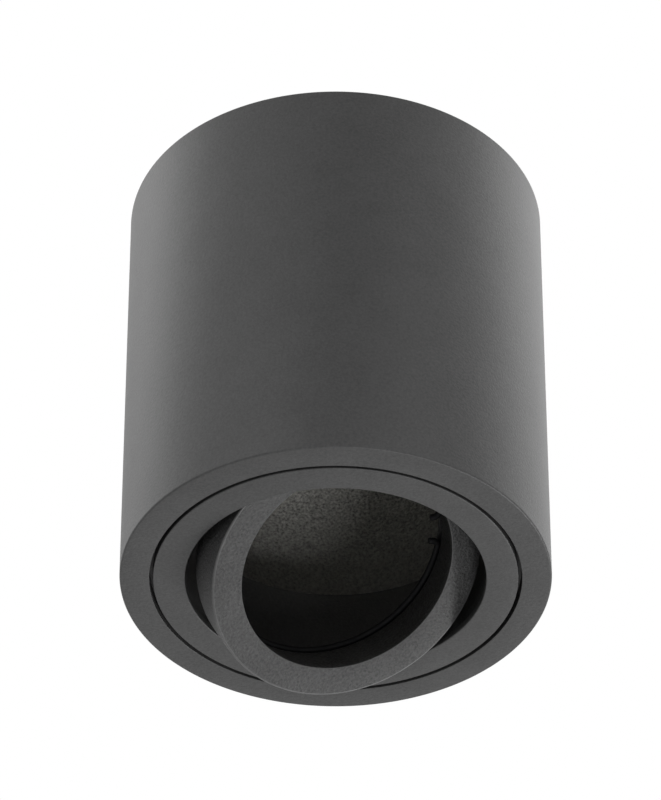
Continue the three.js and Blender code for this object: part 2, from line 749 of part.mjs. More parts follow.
function lampLead(side, poleX) {
  const coverTop = -holderDrop + holderBaseHeight + touchGap + holderCoverHeight + leadCollarHeight;
  const exitX = side * leadExitSpacing / 2;
  const end = -holderDrop + holderBaseHeight - contactTopInset + touchGap;
  const middle = leadRouteShares.map(([turn, radiusShare, dropShare]) => {
    const angle = -Math.PI / 2 + side * THREE.MathUtils.degToRad(turn);
    const radius = radiusShare * bodyInnerRadius;
    return new THREE.Vector3(radius * Math.cos(angle), radius * Math.sin(angle), -dropShare * holderDrop);
  });
  return leadAlong([
    new THREE.Vector3(poleX, blockFace + leadPlugIn, barrelHeight),
    new THREE.Vector3(poleX, blockFace, barrelHeight),
    new THREE.Vector3(poleX, blockFace - leadStraight, barrelHeight),
    ...middle,
    new THREE.Vector3(exitX, leadBend, coverTop + leadStraight + leadBend / 2),
    new THREE.Vector3(exitX, 0, coverTop + leadStraight),
    new THREE.Vector3(exitX, 0, coverTop),
    new THREE.Vector3(exitX, 0, (coverTop + end) / 2),
    new THREE.Vector3(exitX, 0, end),
  ], lampLeadSteps);
}

const earthBendShares = [0.25, 0.5, 0.75];

function earthLead() {
  const poleX = polePlaces()[poleCount - 1];
  const height = lugTop - lugCrimpDiameter / 2;
  const bendAngle = Math.PI / 2 + earthDirection;
  const bend = earthBendShares.map((share) => earthBendPoint(Math.PI + share * bendAngle));
  return leadAlong([
    new THREE.Vector3(poleX, blockFace + leadPlugIn, barrelHeight),
    new THREE.Vector3(poleX, blockFace, barrelHeight),
    new THREE.Vector3(poleX, blockFace - leadStraight, barrelHeight),
    ...bend.map(([x, y]) => new THREE.Vector3(x, y, (barrelHeight + height) / 2)),
    new THREE.Vector3(...fromEarthBend(0), height),
    new THREE.Vector3(...fromEarthBend(leadStraight), height),
    new THREE.Vector3(...fromEarthBend(leadStraight + leadPlugIn), height),
  ], earthLeadSteps);
}

// Assembly
const spotlight = new THREE.Group();
part(spotlight, 'housing_shell', housingShell(), powderBlack());
part(spotlight, 'cable_grommet', cableGrommet(), rubber());

const terminals = new THREE.Group();
terminals.position.set(0, blockOffset, -ceilingWall - blockBossHeight - touchGap);
spotlight.add(terminals);
part(terminals, 'terminal_block', terminalBlock(), polyamide());
const terminalScrewSeat = -blockHeight + terminalScrewSink + terminalScrewHeadHeight;
polePlaces().forEach((x, pole) => {
  const barrel = part(terminals, `terminal_barrel_${pole + 1}`, terminalBarrel(), brass());
  barrel.position.set(x, 0, -barrelAxisDepth);
  [-1, 1].forEach((side, row) => {
    const screw = part(terminals, `terminal_screw_${pole + 1}${'ab'[row]}`, terminalScrew(), zincSteel());
    screw.position.set(x, side * terminalScrewSpacing / 2, terminalScrewSeat);
  });
});
fixingPlaces().forEach((x, i) => {
  const screw = part(terminals, `block_fixing_screw_${i + 1}`, fixingScrew(), zincSteel());
  screw.position.set(x, 0, -blockHeight + fixingScrewSink - touchGap);
});

const earthPoint = new THREE.Group();
const [earthX, earthY] = earthPlace();
earthPoint.position.set(earthX, earthY, -ceilingWall - earthBossHeight);
earthPoint.rotation.z = earthDirection;
spotlight.add(earthPoint);
const washerPlace = -touchGap - earthWasherThickness;
const lugPlace = washerPlace - touchGap - lugThickness;
const earthScrewPlace = lugPlace - touchGap;
const earthShank = earthBossHeight + bossHoleIntoWall - touchGap - earthScrewPlace;
part(earthPoint, 'earth_washer', earthWasher(), zincSteel()).position.z = washerPlace;
part(earthPoint, 'earth_lug', earthLug(), zincSteel()).position.z = lugPlace;
const earthScrew = slottedScrew(earthScrewDiameter, earthScrewHeadDiameter, earthScrewHeadHeight, earthShank,
  fixingSlotWidth, fixingSlotDepth);
part(earthPoint, 'earth_screw', earthScrew, brass()).position.z = earthScrewPlace;

const lampholder = new THREE.Group();
lampholder.position.z = -holderDrop;
spotlight.add(lampholder);
part(lampholder, 'lampholder_base', lampholderBase(), ceramic());
part(lampholder, 'lampholder_cover', lampholderCover(), ceramic()).position.z = holderBaseHeight + touchGap;
[-1, 1].forEach((side, i) => {
  const hand = ['left', 'right'][i];
  part(lampholder, `lampholder_contact_${hand}`, lampholderContact(side), zincSteel());
  const screw = part(lampholder, `lampholder_screw_${hand}`, lampholderScrew(), zincSteel());
  screw.position.set(side * holderScrewSpacing / 2, 0, holderBaseHeight + holderCoverHeight + 2 * touchGap);
});

const poles = polePlaces();
part(spotlight, 'lead_live', lampLead(-1, poles[0]), fibre());
part(spotlight, 'lead_neutral', lampLead(1, poles[1]), fibre());
part(spotlight, 'lead_earth', earthLead(), fibre());

const trim = new THREE.Group();
trim.position.z = -bodyHeight + pivotHeight;
trim.rotation.z = THREE.MathUtils.degToRad(turnAtRest);
spotlight.add(trim);
part(trim, 'trim_ring', trimRing(), powderBlack());
springAngles().forEach((angle, i) => {
  part(trim, `retaining_spring_${i + 1}`, retainingSpring(), springSteel()).rotation.z = angle;
  part(trim, `spring_rivet_${i + 1}`, springRivet(), zincSteel()).rotation.z = angle;
});
[0, Math.PI].forEach((angle, i) => {
  part(trim, `friction_washer_${i + 1}`, frictionWasher(), springSteel()).rotation.z = angle;
});

const gimbal = new THREE.Group();
gimbal.rotation.x = -THREE.MathUtils.degToRad(tiltAtRest);
trim.add(gimbal);
part(gimbal, 'tilt_ring', tiltRing(), powderBlack());
part(gimbal, 'lamp_clip', lampClip(), springSteel());
[0, Math.PI].forEach((angle, i) => {
  part(gimbal, `pivot_screw_${i + 1}`, pivotScrew(), zincSteel()).rotation.z = angle;
});

export default spotlight;
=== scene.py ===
import bmesh
import bpy
import numpy as np
from mathutils import Matrix, Vector
from mathutils.geometry import delaunay_2d_cdt


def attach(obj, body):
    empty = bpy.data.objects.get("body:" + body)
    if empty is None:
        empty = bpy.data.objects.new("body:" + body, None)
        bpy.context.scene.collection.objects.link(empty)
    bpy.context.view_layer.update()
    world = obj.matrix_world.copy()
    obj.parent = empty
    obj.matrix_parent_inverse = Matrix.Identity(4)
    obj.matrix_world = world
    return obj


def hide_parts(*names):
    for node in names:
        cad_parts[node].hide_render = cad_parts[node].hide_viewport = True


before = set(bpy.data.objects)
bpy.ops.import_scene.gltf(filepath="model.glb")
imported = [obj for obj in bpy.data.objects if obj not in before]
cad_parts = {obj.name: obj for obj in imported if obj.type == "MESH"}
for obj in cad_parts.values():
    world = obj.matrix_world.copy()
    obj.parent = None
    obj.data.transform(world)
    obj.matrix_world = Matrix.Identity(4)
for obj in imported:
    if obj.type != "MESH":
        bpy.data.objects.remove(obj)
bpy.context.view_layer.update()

PI = np.pi
MM = 0.001

# Sizes of the model
CEILING_WALL = 3.0
BODY_RADIUS = 45.0
BODY_HEIGHT = 97.0
INNER_RADIUS = 42.0
BALL_RADIUS = 30.8
COLLAR_INSIDE = 32.5
COLLAR_OUTSIDE = 34.5
SEAT_RADIUS = 25.5
PIVOT_DROP = 89.6
PIVOT_HOLE = 1.8
TRIM_TURN = 43.4
RING_TILT = -31.0
CABLE_ENTRY = (0, 25)
CEILING_SLOTS = (-29, 29)
POLES = (-11, 0, 11)
POLE_DROP = 5.5
POLE_SCREWS = (-4, 4)
BLOCK_HEIGHT = 13.0
BLOCK_SCREWS = (-5.5, 5.5)
BLOCK_SCREW_HOLE = 1.6
EARTH_HOLE = 2.15
HOLDER_SCREWS = (12.3, -12.3)
HOLDER_SCREW_HOLE = 1.6
HOLDER_BODY = (30, 18, 6)
HOLDER_COVER = 14.3
LEAD_EXIT = 5.5
LEAD_RADIUS = 1.1
RIVET_RISE = 9.3
RIVET_HOLE = 1.4

# Places in the housing: terminal block, earth point and lampholder
BLOCK = np.array([0, -8.0, -5.8])
EARTH = np.array([29.076, -12.288, -7.0])
HOLDER = np.array([0, 0, -50.0])

# Screws: head radius and height, shank radius, length, slot width and depth, pitch of the thread
TERMINAL_SCREW = (1.7, 1.3, 0.95, 5.1, 0.6, 0.6, 0.4)
BLOCK_SCREW = (2.6, 1.8, 1.3, 13.6, 0.8, 0.9, 0.5)
EARTH_SCREW = (3.7, 2.4, 1.85, 7.7, 0.8, 0.9, 0.7)
HOLDER_SCREW = (2.2, 1.6, 1.3, 14.3, 0.8, 0.9, 0.5)
PIVOT_SCREW = (2.5, 1.0, 1.5, 7.5, 0.8, 0.5, 0.5)

# Where the undersides of their heads bear: heights from the terminal block's, the earth point's and
# the lampholder's place, and the pivots' distance from the housing's axis
TERMINAL_SEAT, BLOCK_SEAT, EARTH_SEAT = -10.9, -9.9, -2.5
HOLDER_SEAT, PIVOT_SEAT = 20.6, 34.8

# The two long leads round the housing: degrees from the front, share of its radius, share of the
# lampholder's drop
LEAD_ROUTE = [(26, 0.7, 0.3), (48, 0.82, 0.42), (80, 0.84, 0.54), (112, 0.83, 0.62), (142, 0.76, 0.66),
              (162, 0.62, 0.6)]

# Points round a full circle and round a small hole, where a wall that is unrolled is cut open, the
# turn between points of a rounded corner, and the angle in degrees past which an edge is sharp
ROUND = 288
FINE = 48
SEAM = PI / 4
CORNER_TURN = 0.35
SHARP = 35

# Studio, in metres: the world's level, the floor, what the card and the lamps face, the grey card,
# and the soft boxes with their azimuth, elevation, distance, size and level
WORLD_LEVEL = 0.22
FLOOR_DROP, FLOOR_HALF = 1.6, 4
CARD_AIM, LAMP_AIM = (0, 0, -0.05), (0, 0, -0.06)
CARD_PLACE, CARD_SIZE = (0.55, -2.2, 1.9), (1.4, 1.4)
BOXES = [
    ("key", 30, -45, 1.25, 0.4, 14.2),
    ("spot", -57, -62, 1.25, 0.25, 22.0),
    ("fill", 90, -40.5, 0.46, 0.3, 0.18),
    ("front_right", -60, 15, 1.25, 0.8, 1.2),
    ("front_left", -130, 15, 1.25, 0.8, 1.4),
    ("side_left", 160, 40, 1.25, 0.8, 1.65),
    ("side_right", 20, 40, 1.25, 0.8, 1.15),
    ("back_right", 50, 40, 1.25, 0.8, 0.7),
]


# Turns and places
def turn_about_z(degrees):
    angle = np.radians(degrees)
    return np.array([[np.cos(angle), -np.sin(angle), 0], [np.sin(angle), np.cos(angle), 0], [0, 0, 1]])


def turn_about_x(degrees):
    angle = np.radians(degrees)
    return np.array([[1, 0, 0], [0, np.cos(angle), -np.sin(angle)], [0, np.sin(angle), np.cos(angle)]])


PIVOT = np.array([0, 0, -PIVOT_DROP])
TRIM = turn_about_z(TRIM_TURN)
RING = TRIM @ turn_about_x(RING_TILT)
EARTH_TURN = turn_about_z(45)


def moved(patch, turn=np.eye(3), shift=(0, 0, 0)):
    """Every point turned by the matrix, then shifted."""
    points, faces = patch
    return points @ turn.T + np.asarray(shift, float), faces


def placed(patches, turn=np.eye(3), shift=(0, 0, 0)):
    return [moved(patch, turn, shift) for patch in patches]


UPSIDE_DOWN = np.diag([1.0, -1.0, -1.0])
Z_TO_X = np.array([[0.0, 0, 1], [0, 1, 0], [-1, 0, 0]])
Z_TO_BACK = np.array([[1.0, 0, 0], [0, 0, -1], [0, 1, 0]])


# Surfaces
def full_turn(count, start=0.0):
    """Angles in even steps round a circle."""
    return start + np.arange(count) * 2 * PI / count


def on_circle(radius, angle, centre=(0, 0)):
    """Flat points at a radius and at angles round a centre."""
    return np.stack([radius * np.cos(angle), radius * np.sin(angle)], -1) + centre


def raised(points, z):
    """Flat points (x, y) at height z."""
    return np.insert(points, 2, z, 1)


def stood_up(points, y):
    """Flat points (x, z) in the plane of y."""
    return np.insert(points, 1, y, 1)


def rounded(corners, closed=False):
    """A polyline whose corners (r, z, radius) become arcs: each arc touches both of its sides at
    radius / tan(half the corner's angle) from the corner, in turns of about 20 degrees."""
    path = np.array(corners, float)
    out = []
    count = len(path)
    for i, (x, y, radius) in enumerate(path):
        here = np.array([x, y])
        if radius <= 0 or (not closed and i in (0, count - 1)):
            out.append(here[None])
            continue
        back = path[i - 1, :2] - here
        ahead = path[(i + 1) % count, :2] - here
        back, ahead = back / np.linalg.norm(back), ahead / np.linalg.norm(ahead)
        half = np.arccos(np.clip(back @ ahead, -1, 1)) / 2
        centre = here + (back + ahead) / np.linalg.norm(back + ahead) * radius / np.sin(half)
        start = here + back * radius / np.tan(half) - centre
        end = here + ahead * radius / np.tan(half) - centre
        sweep = np.arctan2(start[0] * end[1] - start[1] * end[0], start @ end)
        angle = np.linspace(0, sweep, max(3, int(abs(sweep) / CORNER_TURN) + 2))
        across = np.array([-start[1], start[0]])
        out.append(centre + np.cos(angle)[:, None] * start + np.sin(angle)[:, None] * across)
    return np.concatenate(out)


def grid_faces(rows, columns, wrap_rows=False, wrap_columns=False):
    """Four-sided faces between neighbours of a grid of points stored row by row."""
    i = np.arange(rows if wrap_rows else rows - 1)[:, None]
    j = np.arange(columns if wrap_columns else columns - 1)[None]
    nexts = (i + 1) % rows, (j + 1) % columns
    quads = [i * columns + j, i * columns + nexts[1], nexts[0] * columns + nexts[1], nexts[0] * columns + j]
    return np.stack([np.broadcast_to(q, (i.size, j.size)) for q in quads], -1).reshape(-1, 4)


def revolve(profile, segments=ROUND, closed=False, start=0.0):
    """Each (r, z) of the profile carried round Z: x = r cos(angle), y = r sin(angle)."""
    angle = full_turn(segments, start)
    r, z = profile[:, :1], profile[:, 1:]
    points = np.stack([r * np.cos(angle), r * np.sin(angle), z + 0 * angle], -1)
    return points.reshape(-1, 3), grid_faces(len(profile), segments, closed, True)


def outline(length, width, radius, centre=(0, 0), steps=12):
    """A rounded rectangle, slot or circle: quarter arcs of the radius round four corner centres.
    Gives its points and their outward directions."""
    quarter = np.linspace(0, PI / 2, steps + 1)
    angle = (quarter[None] + PI / 2 * np.arange(4)[:, None]).ravel()
    sign = np.repeat([[1, 1], [-1, 1], [-1, -1], [1, -1]], steps + 1, 0)
    out = on_circle(1, angle)
    points = sign * (np.array([length, width]) / 2 - radius) + radius * out
    keep = np.linalg.norm(points - np.roll(points, 1, 0), axis=1) > 1e-7
    return points[keep] + centre, out[keep]


def circle(radius, centre=(0, 0), steps=12):
    return outline(2 * radius, 2 * radius, radius, centre, steps)


def at(loop, offset):
    """The flat points of an outline, shifted outwards."""
    return loop[0] + offset * loop[1]


def all_at(loops, offset):
    return [at(loop, offset) for loop in loops]


def mitred(points):
    """An outline from its corners, counter-clockwise: each corner's direction is the sum of its
    sides' normals over one plus their product, so a shift moves both sides by as much."""
    ahead = np.roll(points, -1, 0) - points
    ahead /= np.linalg.norm(ahead, axis=1)[:, None]
    normal = np.column_stack([ahead[:, 1], -ahead[:, 0]])
    before = np.roll(normal, 1, 0)
    return points, (normal + before) / (1 + (normal * before).sum(1))[:, None]


def carried(loop, profile):
    """A profile of (outward offset, z) carried along a flat outline."""
    points, out = loop
    flat = points[None] + profile[:, :1, None] * out[None]
    height = np.broadcast_to(profile[:, 1:, None], (*flat.shape[:2], 1))
    grid = np.concatenate([flat, height], -1)
    return grid.reshape(-1, 3), grid_faces(len(profile), len(points), False, True)


def all_carried(loops, profile):
    return [carried(loop, profile) for loop in loops]


def within(points, ring):
    """Which points an outline goes round: a line from such a point to the right crosses the outline
    an odd number of times."""
    x, y = points[:, :1], points[:, 1:]
    (ax, ay), (bx, by) = ring.T, np.roll(ring, -1, 0).T
    spans = (ay > y) != (by > y)
    rise = np.where(by == ay, 1.0, by - ay)
    return (spans & (x < ax + (bx - ax) * (y - ay) / rise)).sum(1) % 2 == 1


def cut_flat(loops, extra=()):
    """The flat region inside the first outline and outside the others, cut into triangles that
    meet their points, with extra points inside it."""
    rings = [np.asarray(loop) for loop in loops]
    starts = np.cumsum([0] + [len(ring) for ring in rings])
    edges = [(int(a + i), int(a + (i + 1) % len(ring)))
             for a, ring in zip(starts, rings) for i in range(len(ring))]
    flat = np.concatenate([*rings, np.asarray(extra, float).reshape(-1, 2)])
    points, _, faces, *_ = delaunay_2d_cdt(list(map(list, flat)), edges, [], 1, 1e-7)
    points, faces = np.array([tuple(p) for p in points]), np.array([tuple(face) for face in faces])
    middles = points[faces].mean(1)
    for ring in rings[1:]:
        kept = ~within(middles, ring)
        faces, middles = faces[kept], middles[kept]
    return points, faces


def plate(loops, z):
    """A flat face at height z between outlines."""
    points, faces = cut_flat(loops)
    return raised(points, z), faces


def holed_wall(radius_at, low, high, holes, segments=ROUND):
    """A wall round Z whose radius depends on height, with round holes bored square to the axis:
    the wall is unrolled to (arc length, height), cut round the holes' outlines and rolled up again.
    A hole (angle, height, radius) meets the wall where the distance from its axis is its radius."""
    size = radius_at(np.array((low + high) / 2))
    steps = (np.linspace(0, 2 * PI, segments + 1) + SEAM) * size
    side = np.linspace(low, high, 9)[1:-1]
    frame_loop = np.concatenate([
        np.column_stack([steps, np.full(len(steps), low)]),
        np.column_stack([np.full(len(side), steps[-1]), side]),
        np.column_stack([steps[::-1], np.full(len(steps), high)]),
        np.column_stack([np.full(len(side), steps[0]), side[::-1]]),
    ])
    angle = full_turn(FINE)
    loops = [frame_loop]
    inner = np.stack(np.meshgrid(steps[1:-1], side), -1).reshape(-1, 2)
    for turn, height, radius in holes:
        z = height + radius * np.sin(angle)
        bearing = (turn - SEAM) % (2 * PI) + SEAM
        across = np.arcsin(radius * np.cos(angle) / radius_at(z))
        loops.append(np.column_stack([(bearing + across) * size, z]))
        inner = inner[np.linalg.norm(inner - [bearing * size, height], axis=1) > radius * 1.2]

    def rolled(flat):
        return np.column_stack([on_circle(radius_at(flat[:, 1]), flat[:, 0] / size), flat[:, 1]])

    flat, faces = cut_flat(loops, inner)
    return (rolled(flat), faces), [rolled(loop) for loop in loops[1:]]


def between(*rims):
    """A skin over loops of equally many points."""
    grid = np.stack(rims)
    return grid.reshape(-1, 3), grid_faces(len(rims), grid.shape[1], False, True)


def bored_tube(radii, low, high, holes, segments=ROUND):
    """Both walls of a tube, each cut round the same holes, and the holes' own walls between them."""
    skins = [holed_wall(lambda z, r=r: r + 0 * z, low, high, holes, segments) for r in radii]
    return [skin for skin, _ in skins] + [between(a, b) for a, b in zip(skins[0][1], skins[1][1])]


def lid(rim):
    """A fan of triangles that closes a loop at its middle."""
    count = len(rim)
    i = np.arange(count)
    faces = np.column_stack([i, (i + 1) % count, np.full(count, count)])
    return np.concatenate([rim, rim.mean(0)[None]]), faces


def smooth_through(points, per_span, centripetal=True):
    """A Catmull-Rom curve through the points: each span is a cubic whose end speeds follow from the
    neighbours, timed by the square root of the distances (centripetal) or evenly."""
    points = np.asarray(points, float)
    first, last = points[0], points[-1]
    if centripetal:
        first, last = 2 * first - points[1], 2 * last - points[-2]
    p = np.vstack([first, points, last])
    gap = np.sqrt(np.linalg.norm(np.diff(p, axis=0), axis=1)) if centripetal else np.ones(len(p) - 1)
    gap = np.where(gap < 1e-4, 1.0, gap)[:, None]
    before, here, after = gap[:-2], gap[1:-1], gap[2:]
    p0, p1, p2, p3 = p[:-3], p[1:-2], p[2:-1], p[3:]
    if centripetal:
        speed1 = ((p1 - p0) / before - (p2 - p0) / (before + here) + (p2 - p1) / here) * here
        speed2 = ((p2 - p1) / here - (p3 - p1) / (here + after) + (p3 - p2) / after) * here
    else:
        speed1, speed2 = (p2 - p0) / 2, (p3 - p1) / 2
    t = np.linspace(0, 1, per_span, endpoint=False)[None, :, None]
    a, b, c, d = (q[:, None] for q in (p1, speed1, p2, speed2))
    spans = a + b * t + (3 * (c - a) - 2 * b - d) * t ** 2 + (2 * (a - c) + b + d) * t ** 3
    return np.vstack([spans.reshape(-1, points.shape[1]), points[-1]])


def evened(path, step):
    """The same path in steps of one length. Gives its points and their distances along it."""
    travel = np.concatenate([[0], np.cumsum(np.linalg.norm(np.diff(path, axis=0), axis=1))])
    marks = np.linspace(0, travel[-1], int(travel[-1] / step) + 2)
    return np.column_stack([np.interp(marks, travel, column) for column in path.T]), marks


def rings_along(path, sides):
    """Circles of radius one square to a path, turned as little as possible from point to point.
    Gives the path's direction and the circles' points round it."""
    ahead = np.gradient(path, axis=0)
    ahead /= np.linalg.norm(ahead, axis=1)[:, None]
    side = np.cross(ahead[0], [0.3, 0.2, 0.93])
    sides_at = []
    for direction in ahead:
        side = side - direction * (side @ direction)
        side = side / np.linalg.norm(side)
        sides_at.append(side)
    u = np.array(sides_at)
    v = np.cross(ahead, u)
    angle = full_turn(sides)
    return ahead, np.cos(angle)[None, :, None] * u[:, None] + np.sin(angle)[None, :, None] * v[:, None]


def wire_along(path, radius, sides):
    """A round wire carried along a path, both ends cut with a small rounded edge."""
    ahead, ring = rings_along(path, sides)
    edge = np.linspace(0, PI / 2, 5)[1:-1, None, None]
    shrink, lift = radius * (0.75 + 0.25 * np.cos(edge)), radius * 0.25 * np.sin(edge)
    first = path[0] - ahead[0] * lift + shrink * ring[0]
    last = path[-1] + ahead[-1] * lift + shrink * ring[-1]
    rows = np.concatenate([first[::-1], path[:, None] + radius * ring, last])
    skin = rows.reshape(-1, 3), grid_faces(len(rows), sides, False, True)
    return [skin, lid(rows[0]), lid(rows[-1])]


# Making a piece
def join_scene(node, mesh, body, *materials):
    """The mesh as the piece that stands for one node of the model, smooth but for its sharp edges."""
    mesh.shade_smooth()
    mesh.set_sharp_from_angle(angle=np.radians(SHARP))
    for material in materials:
        mesh.materials.append(material)
    name, slot, replaces = f"{node}_dressed", SLOTS[materials[0].name], (node,)
    piece = bpy.data.objects.new(name, mesh)
    bpy.context.scene.collection.objects.link(piece)
    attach(piece, body)
    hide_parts(*replaces)


def dress(node, patches, material, body="housing", second=None, uses_second=None):
    """A piece from patches of one closed shape, merged where they meet, faces outwards, in metres.
    Faces that uses_second picks by their middle point take the second material."""
    shape = bmesh.new()
    for points, faces in patches:
        verts = [shape.verts.new(p) for p in (points * MM).tolist()]
        for face in faces:
            corners = [verts[i] for i in face]
            if len(set(corners)) == len(corners):
                shape.faces.new(corners)
    bmesh.ops.remove_doubles(shape, verts=shape.verts, dist=2e-6)
    bmesh.ops.recalc_face_normals(shape, faces=shape.faces)
    mesh = bpy.data.meshes.new(f"{node}_dressed")
    shape.to_mesh(mesh)
    shape.free()
    if not second:
        join_scene(node, mesh, body, material)
        return
    join_scene(node, mesh, body, material, second)
    middles = np.empty(3 * len(mesh.polygons))
    mesh.polygons.foreach_get("center", middles)
    picks = uses_second(middles.reshape(-1, 3) / MM).astype(np.int32)
    mesh.polygons.foreach_set("material_index", picks)


# Materials
def linear(hex_colour):
    """An sRGB hex colour as linear red, green, blue and alpha."""
    value = np.array([int(hex_colour[i:i + 2], 16) for i in (1, 3, 5)]) / 255
    low = value / 12.92
    high = ((value + 0.055) / 1.055) ** 2.4
    return (*np.where(value <= 0.04045, low, high), 1.0)


def add(tree, kind, inputs=(), **settings):
    """A node with its settings; inputs maps a socket to its value or to the socket that feeds it."""
    node = tree.nodes.new(kind)
    for key, value in settings.items():
        setattr(node, key, value)
    for key, value in dict(inputs).items():
        if isinstance(value, bpy.types.NodeSocket):
            tree.links.new(value, node.inputs[key])
        else:
            node.inputs[key].default_value = value
    return node


def new_material(name, **settings):
    """A material with an empty tree, its shader with the settings, and its Object coordinates."""
    material = bpy.data.materials.new(name)
    material.use_nodes = True
    tree = material.node_tree
    tree.nodes.clear()
    sockets = {key.replace("_", " "): value for key, value in settings.items()}
    shader = add(tree, "ShaderNodeBsdfPrincipled", sockets)
    add(tree, "ShaderNodeOutputMaterial", {"Surface": shader.outputs[0]})
    where = add(tree, "ShaderNodeTexCoord").outputs["Object"]
    return material, tree, shader, where


def maths(tree, operation, *values):
    """What a Math node makes of its values."""
    return add(tree, "ShaderNodeMath", dict(enumerate(values)), operation=operation).outputs[0]


def scaled(tree, value, low, high, to_low=0.0, to_high=1.0):
    """A value that runs from low to high, brought to another range."""
    return add(tree, "ShaderNodeMapRange", {"Value": value, "From Min": low, "From Max": high,
                                             "To Min": to_low, "To Max": to_high}).outputs[0]


def ramp(tree, factor, stops):
    """A Color Ramp through (place, hex colour) stops."""
    node = add(tree, "ShaderNodeValToRGB", {"Fac": factor})
    points = node.color_ramp.elements
    for i, (place, colour) in enumerate(stops):
        point = points[i] if i < 2 else points.new(place)
        point.position, point.color = place, linear(colour)
    return node.outputs["Color"]


def noise(tree, where, size, detail=2.0, rough=0.5):
    """Noise whose lumps are about size millimetres wide."""
    return add(tree, "ShaderNodeTexNoise", {"Vector": where, "Scale": 1 / (size * MM), "Detail": detail,
                                             "Roughness": rough}).outputs["Fac"]


def blend_of(tree, first, second, share):
    """First times one minus share, plus second times share, both of them textures."""
    kept = maths(tree, "MULTIPLY", first, 1 - share)
    return maths(tree, "MULTIPLY_ADD", second, share, kept)


def mixed(tree, share, first, second):
    """One colour turning into another as the share goes from zero to one."""
    node = add(tree, "ShaderNodeMix", data_type="RGBA")
    for socket, source in ((0, share), (6, first), (7, second)):
        tree.links.new(source, node.inputs[socket])
    return node.outputs[2]


def relief(tree, shader, height, depth):
    """Bump of a depth in millimetres."""
    bump = add(tree, "ShaderNodeBump", {"Strength": 1.0, "Distance": depth * MM, "Height": height})
    tree.links.new(bump.outputs[0], shader.inputs["Normal"])


def finish(name, patches, grain, share, dark, light, rough, depth, drawn_out=(1, 1, 1), **settings):
    """A material in two scales, in millimetres: noise in patches and noise in grains, the second with
    its share, run from dark to light. The grains also run from the first to the second roughness and
    stand up by the depth. Drawn out by less than one along an axis, they are lines."""
    material, tree, shader, where = new_material(name, Roughness=sum(rough) / 2, **settings)
    stretched = add(tree, "ShaderNodeMapping", {"Vector": where, "Scale": drawn_out}).outputs[0]
    grains = noise(tree, stretched, grain, 2.5, 0.6)
    both = blend_of(tree, noise(tree, where, patches), grains, share)
    tree.links.new(ramp(tree, both, [(0.3, dark), (0.7, light)]), shader.inputs["Base Color"])
    if rough[0] != rough[1]:
        tree.links.new(scaled(tree, grains, 0.3, 0.7, *rough), shader.inputs["Roughness"])
    relief(tree, shader, grains, depth)
    return material


# Polyester powder coat, black, fine texture: baked on as flowing grains, so it is matt with a fine
# sandy grain, and shines only at grazing angles.
coat = finish("powder_coat_black", 9.0, 0.55, 0.75, "#242424", "#3d3d3d", (0.5, 0.5), 0.07, IOR=1.5)

# The coarser grade on the tilt ring: its grain catches more light, and it shines less.
ring_coat = finish("powder_coat_black_coarse", 9.0, 0.55, 0.75, "#232323", "#4c4c4c",
                   (0.5, 0.5), 0.24, IOR=1.5, Specular_IOR_Level=0.3)

# The same coat, paler, on the ring's front edges: a painted highlight along the hole's edge and the outer
# front edge.
edge_highlight_coat = finish("powder_coat_black_painted_highlight", 9.0, 0.55, 0.5, "#424242", "#5c5c5c",
                     (0.45, 0.55), 0.03, IOR=1.5)

# The coat blown thinly into the bare casting: grey metal grains show through it, over the ripples
# and pits of the mould. Higher up the wall it is painted paler: painted light from the ring's opening.
inside_coat_and_painted_light = finish("thin_coat_on_cast_aluminium_and_painted_light", 5.0, 0.6, 0.9, "#62615f", "#9e9d98",
                     (0.5, 0.5), 0.14, IOR=1.5)

# Cold-rolled spring steel strip: bright, with fine rolling lines along its length.
spring_steel = finish("rolled_spring_steel", 4.0, 0.25, 0.6, "#8d8e91", "#a9aaad",
                      (0.24, 0.4), 0.006, (1, 1, 0.06), Metallic=1.0)

# Black oxide on spring wire: an etched blue-black skin of magnetite, dull and slightly mottled.
black_wire = finish("black_oxide_spring_wire", 3.0, 0.8, 0.7, "#0e0e0f", "#1b1b1d",
                    (0.55, 0.75), 0.02, IOR=1.5, Specular_IOR_Level=0.2)

# Zinc plate with a clear chromate: silver with a faint blue bloom, finely crystalline.
zinc = finish("zinc_plate_clear_chromate", 2.2, 0.12, 0.1, "#a3a8ae", "#bbbbb6",
              (0.28, 0.46), 0.004, Metallic=1.0)

# Free-cutting brass, turned and left as machined: yellow, with fine tool marks and a little tarnish.
brass = finish("turned_brass", 3.0, 0.2, 0.1, "#a07f42", "#c6a262",
               (0.24, 0.42), 0.006, (0.15, 1, 1), Metallic=1.0)

# Polyamide 66, natural: milky, satin from the spark-eroded mould.
polyamide = finish("natural_polyamide", 7.0, 0.25, 0.1, "#dedacd", "#e9e5da",
                   (0.38, 0.55), 0.012, IOR=1.53)

# Moulded rubber, carbon black: dull, with a pale bloom in patches.
rubber = finish("moulded_rubber", 3.0, 0.3, 0.4, "#171718", "#2b2b2c", (0.66, 0.85), 0.02, IOR=1.5)

# Steatite ceramic, pressed and fired without glaze: warm white, matt, with a few dark iron specks.
ceramic = finish("pressed_steatite", 6.0, 0.3, 0.1, "#dcd6c8", "#ebe6da",
                 (0.52, 0.7), 0.015, IOR=1.55)


def nodes_of(material):
    """The tree of a finished material, its Object coordinates, its grains and patches, and its shader's
    colour."""
    tree = material.node_tree
    where = tree.nodes["Texture Coordinate"].outputs["Object"]
    pattern = tree.nodes["Color Ramp"].inputs["Fac"].links[0].from_socket
    return tree, where, pattern, tree.nodes["Principled BSDF"].inputs["Base Color"]


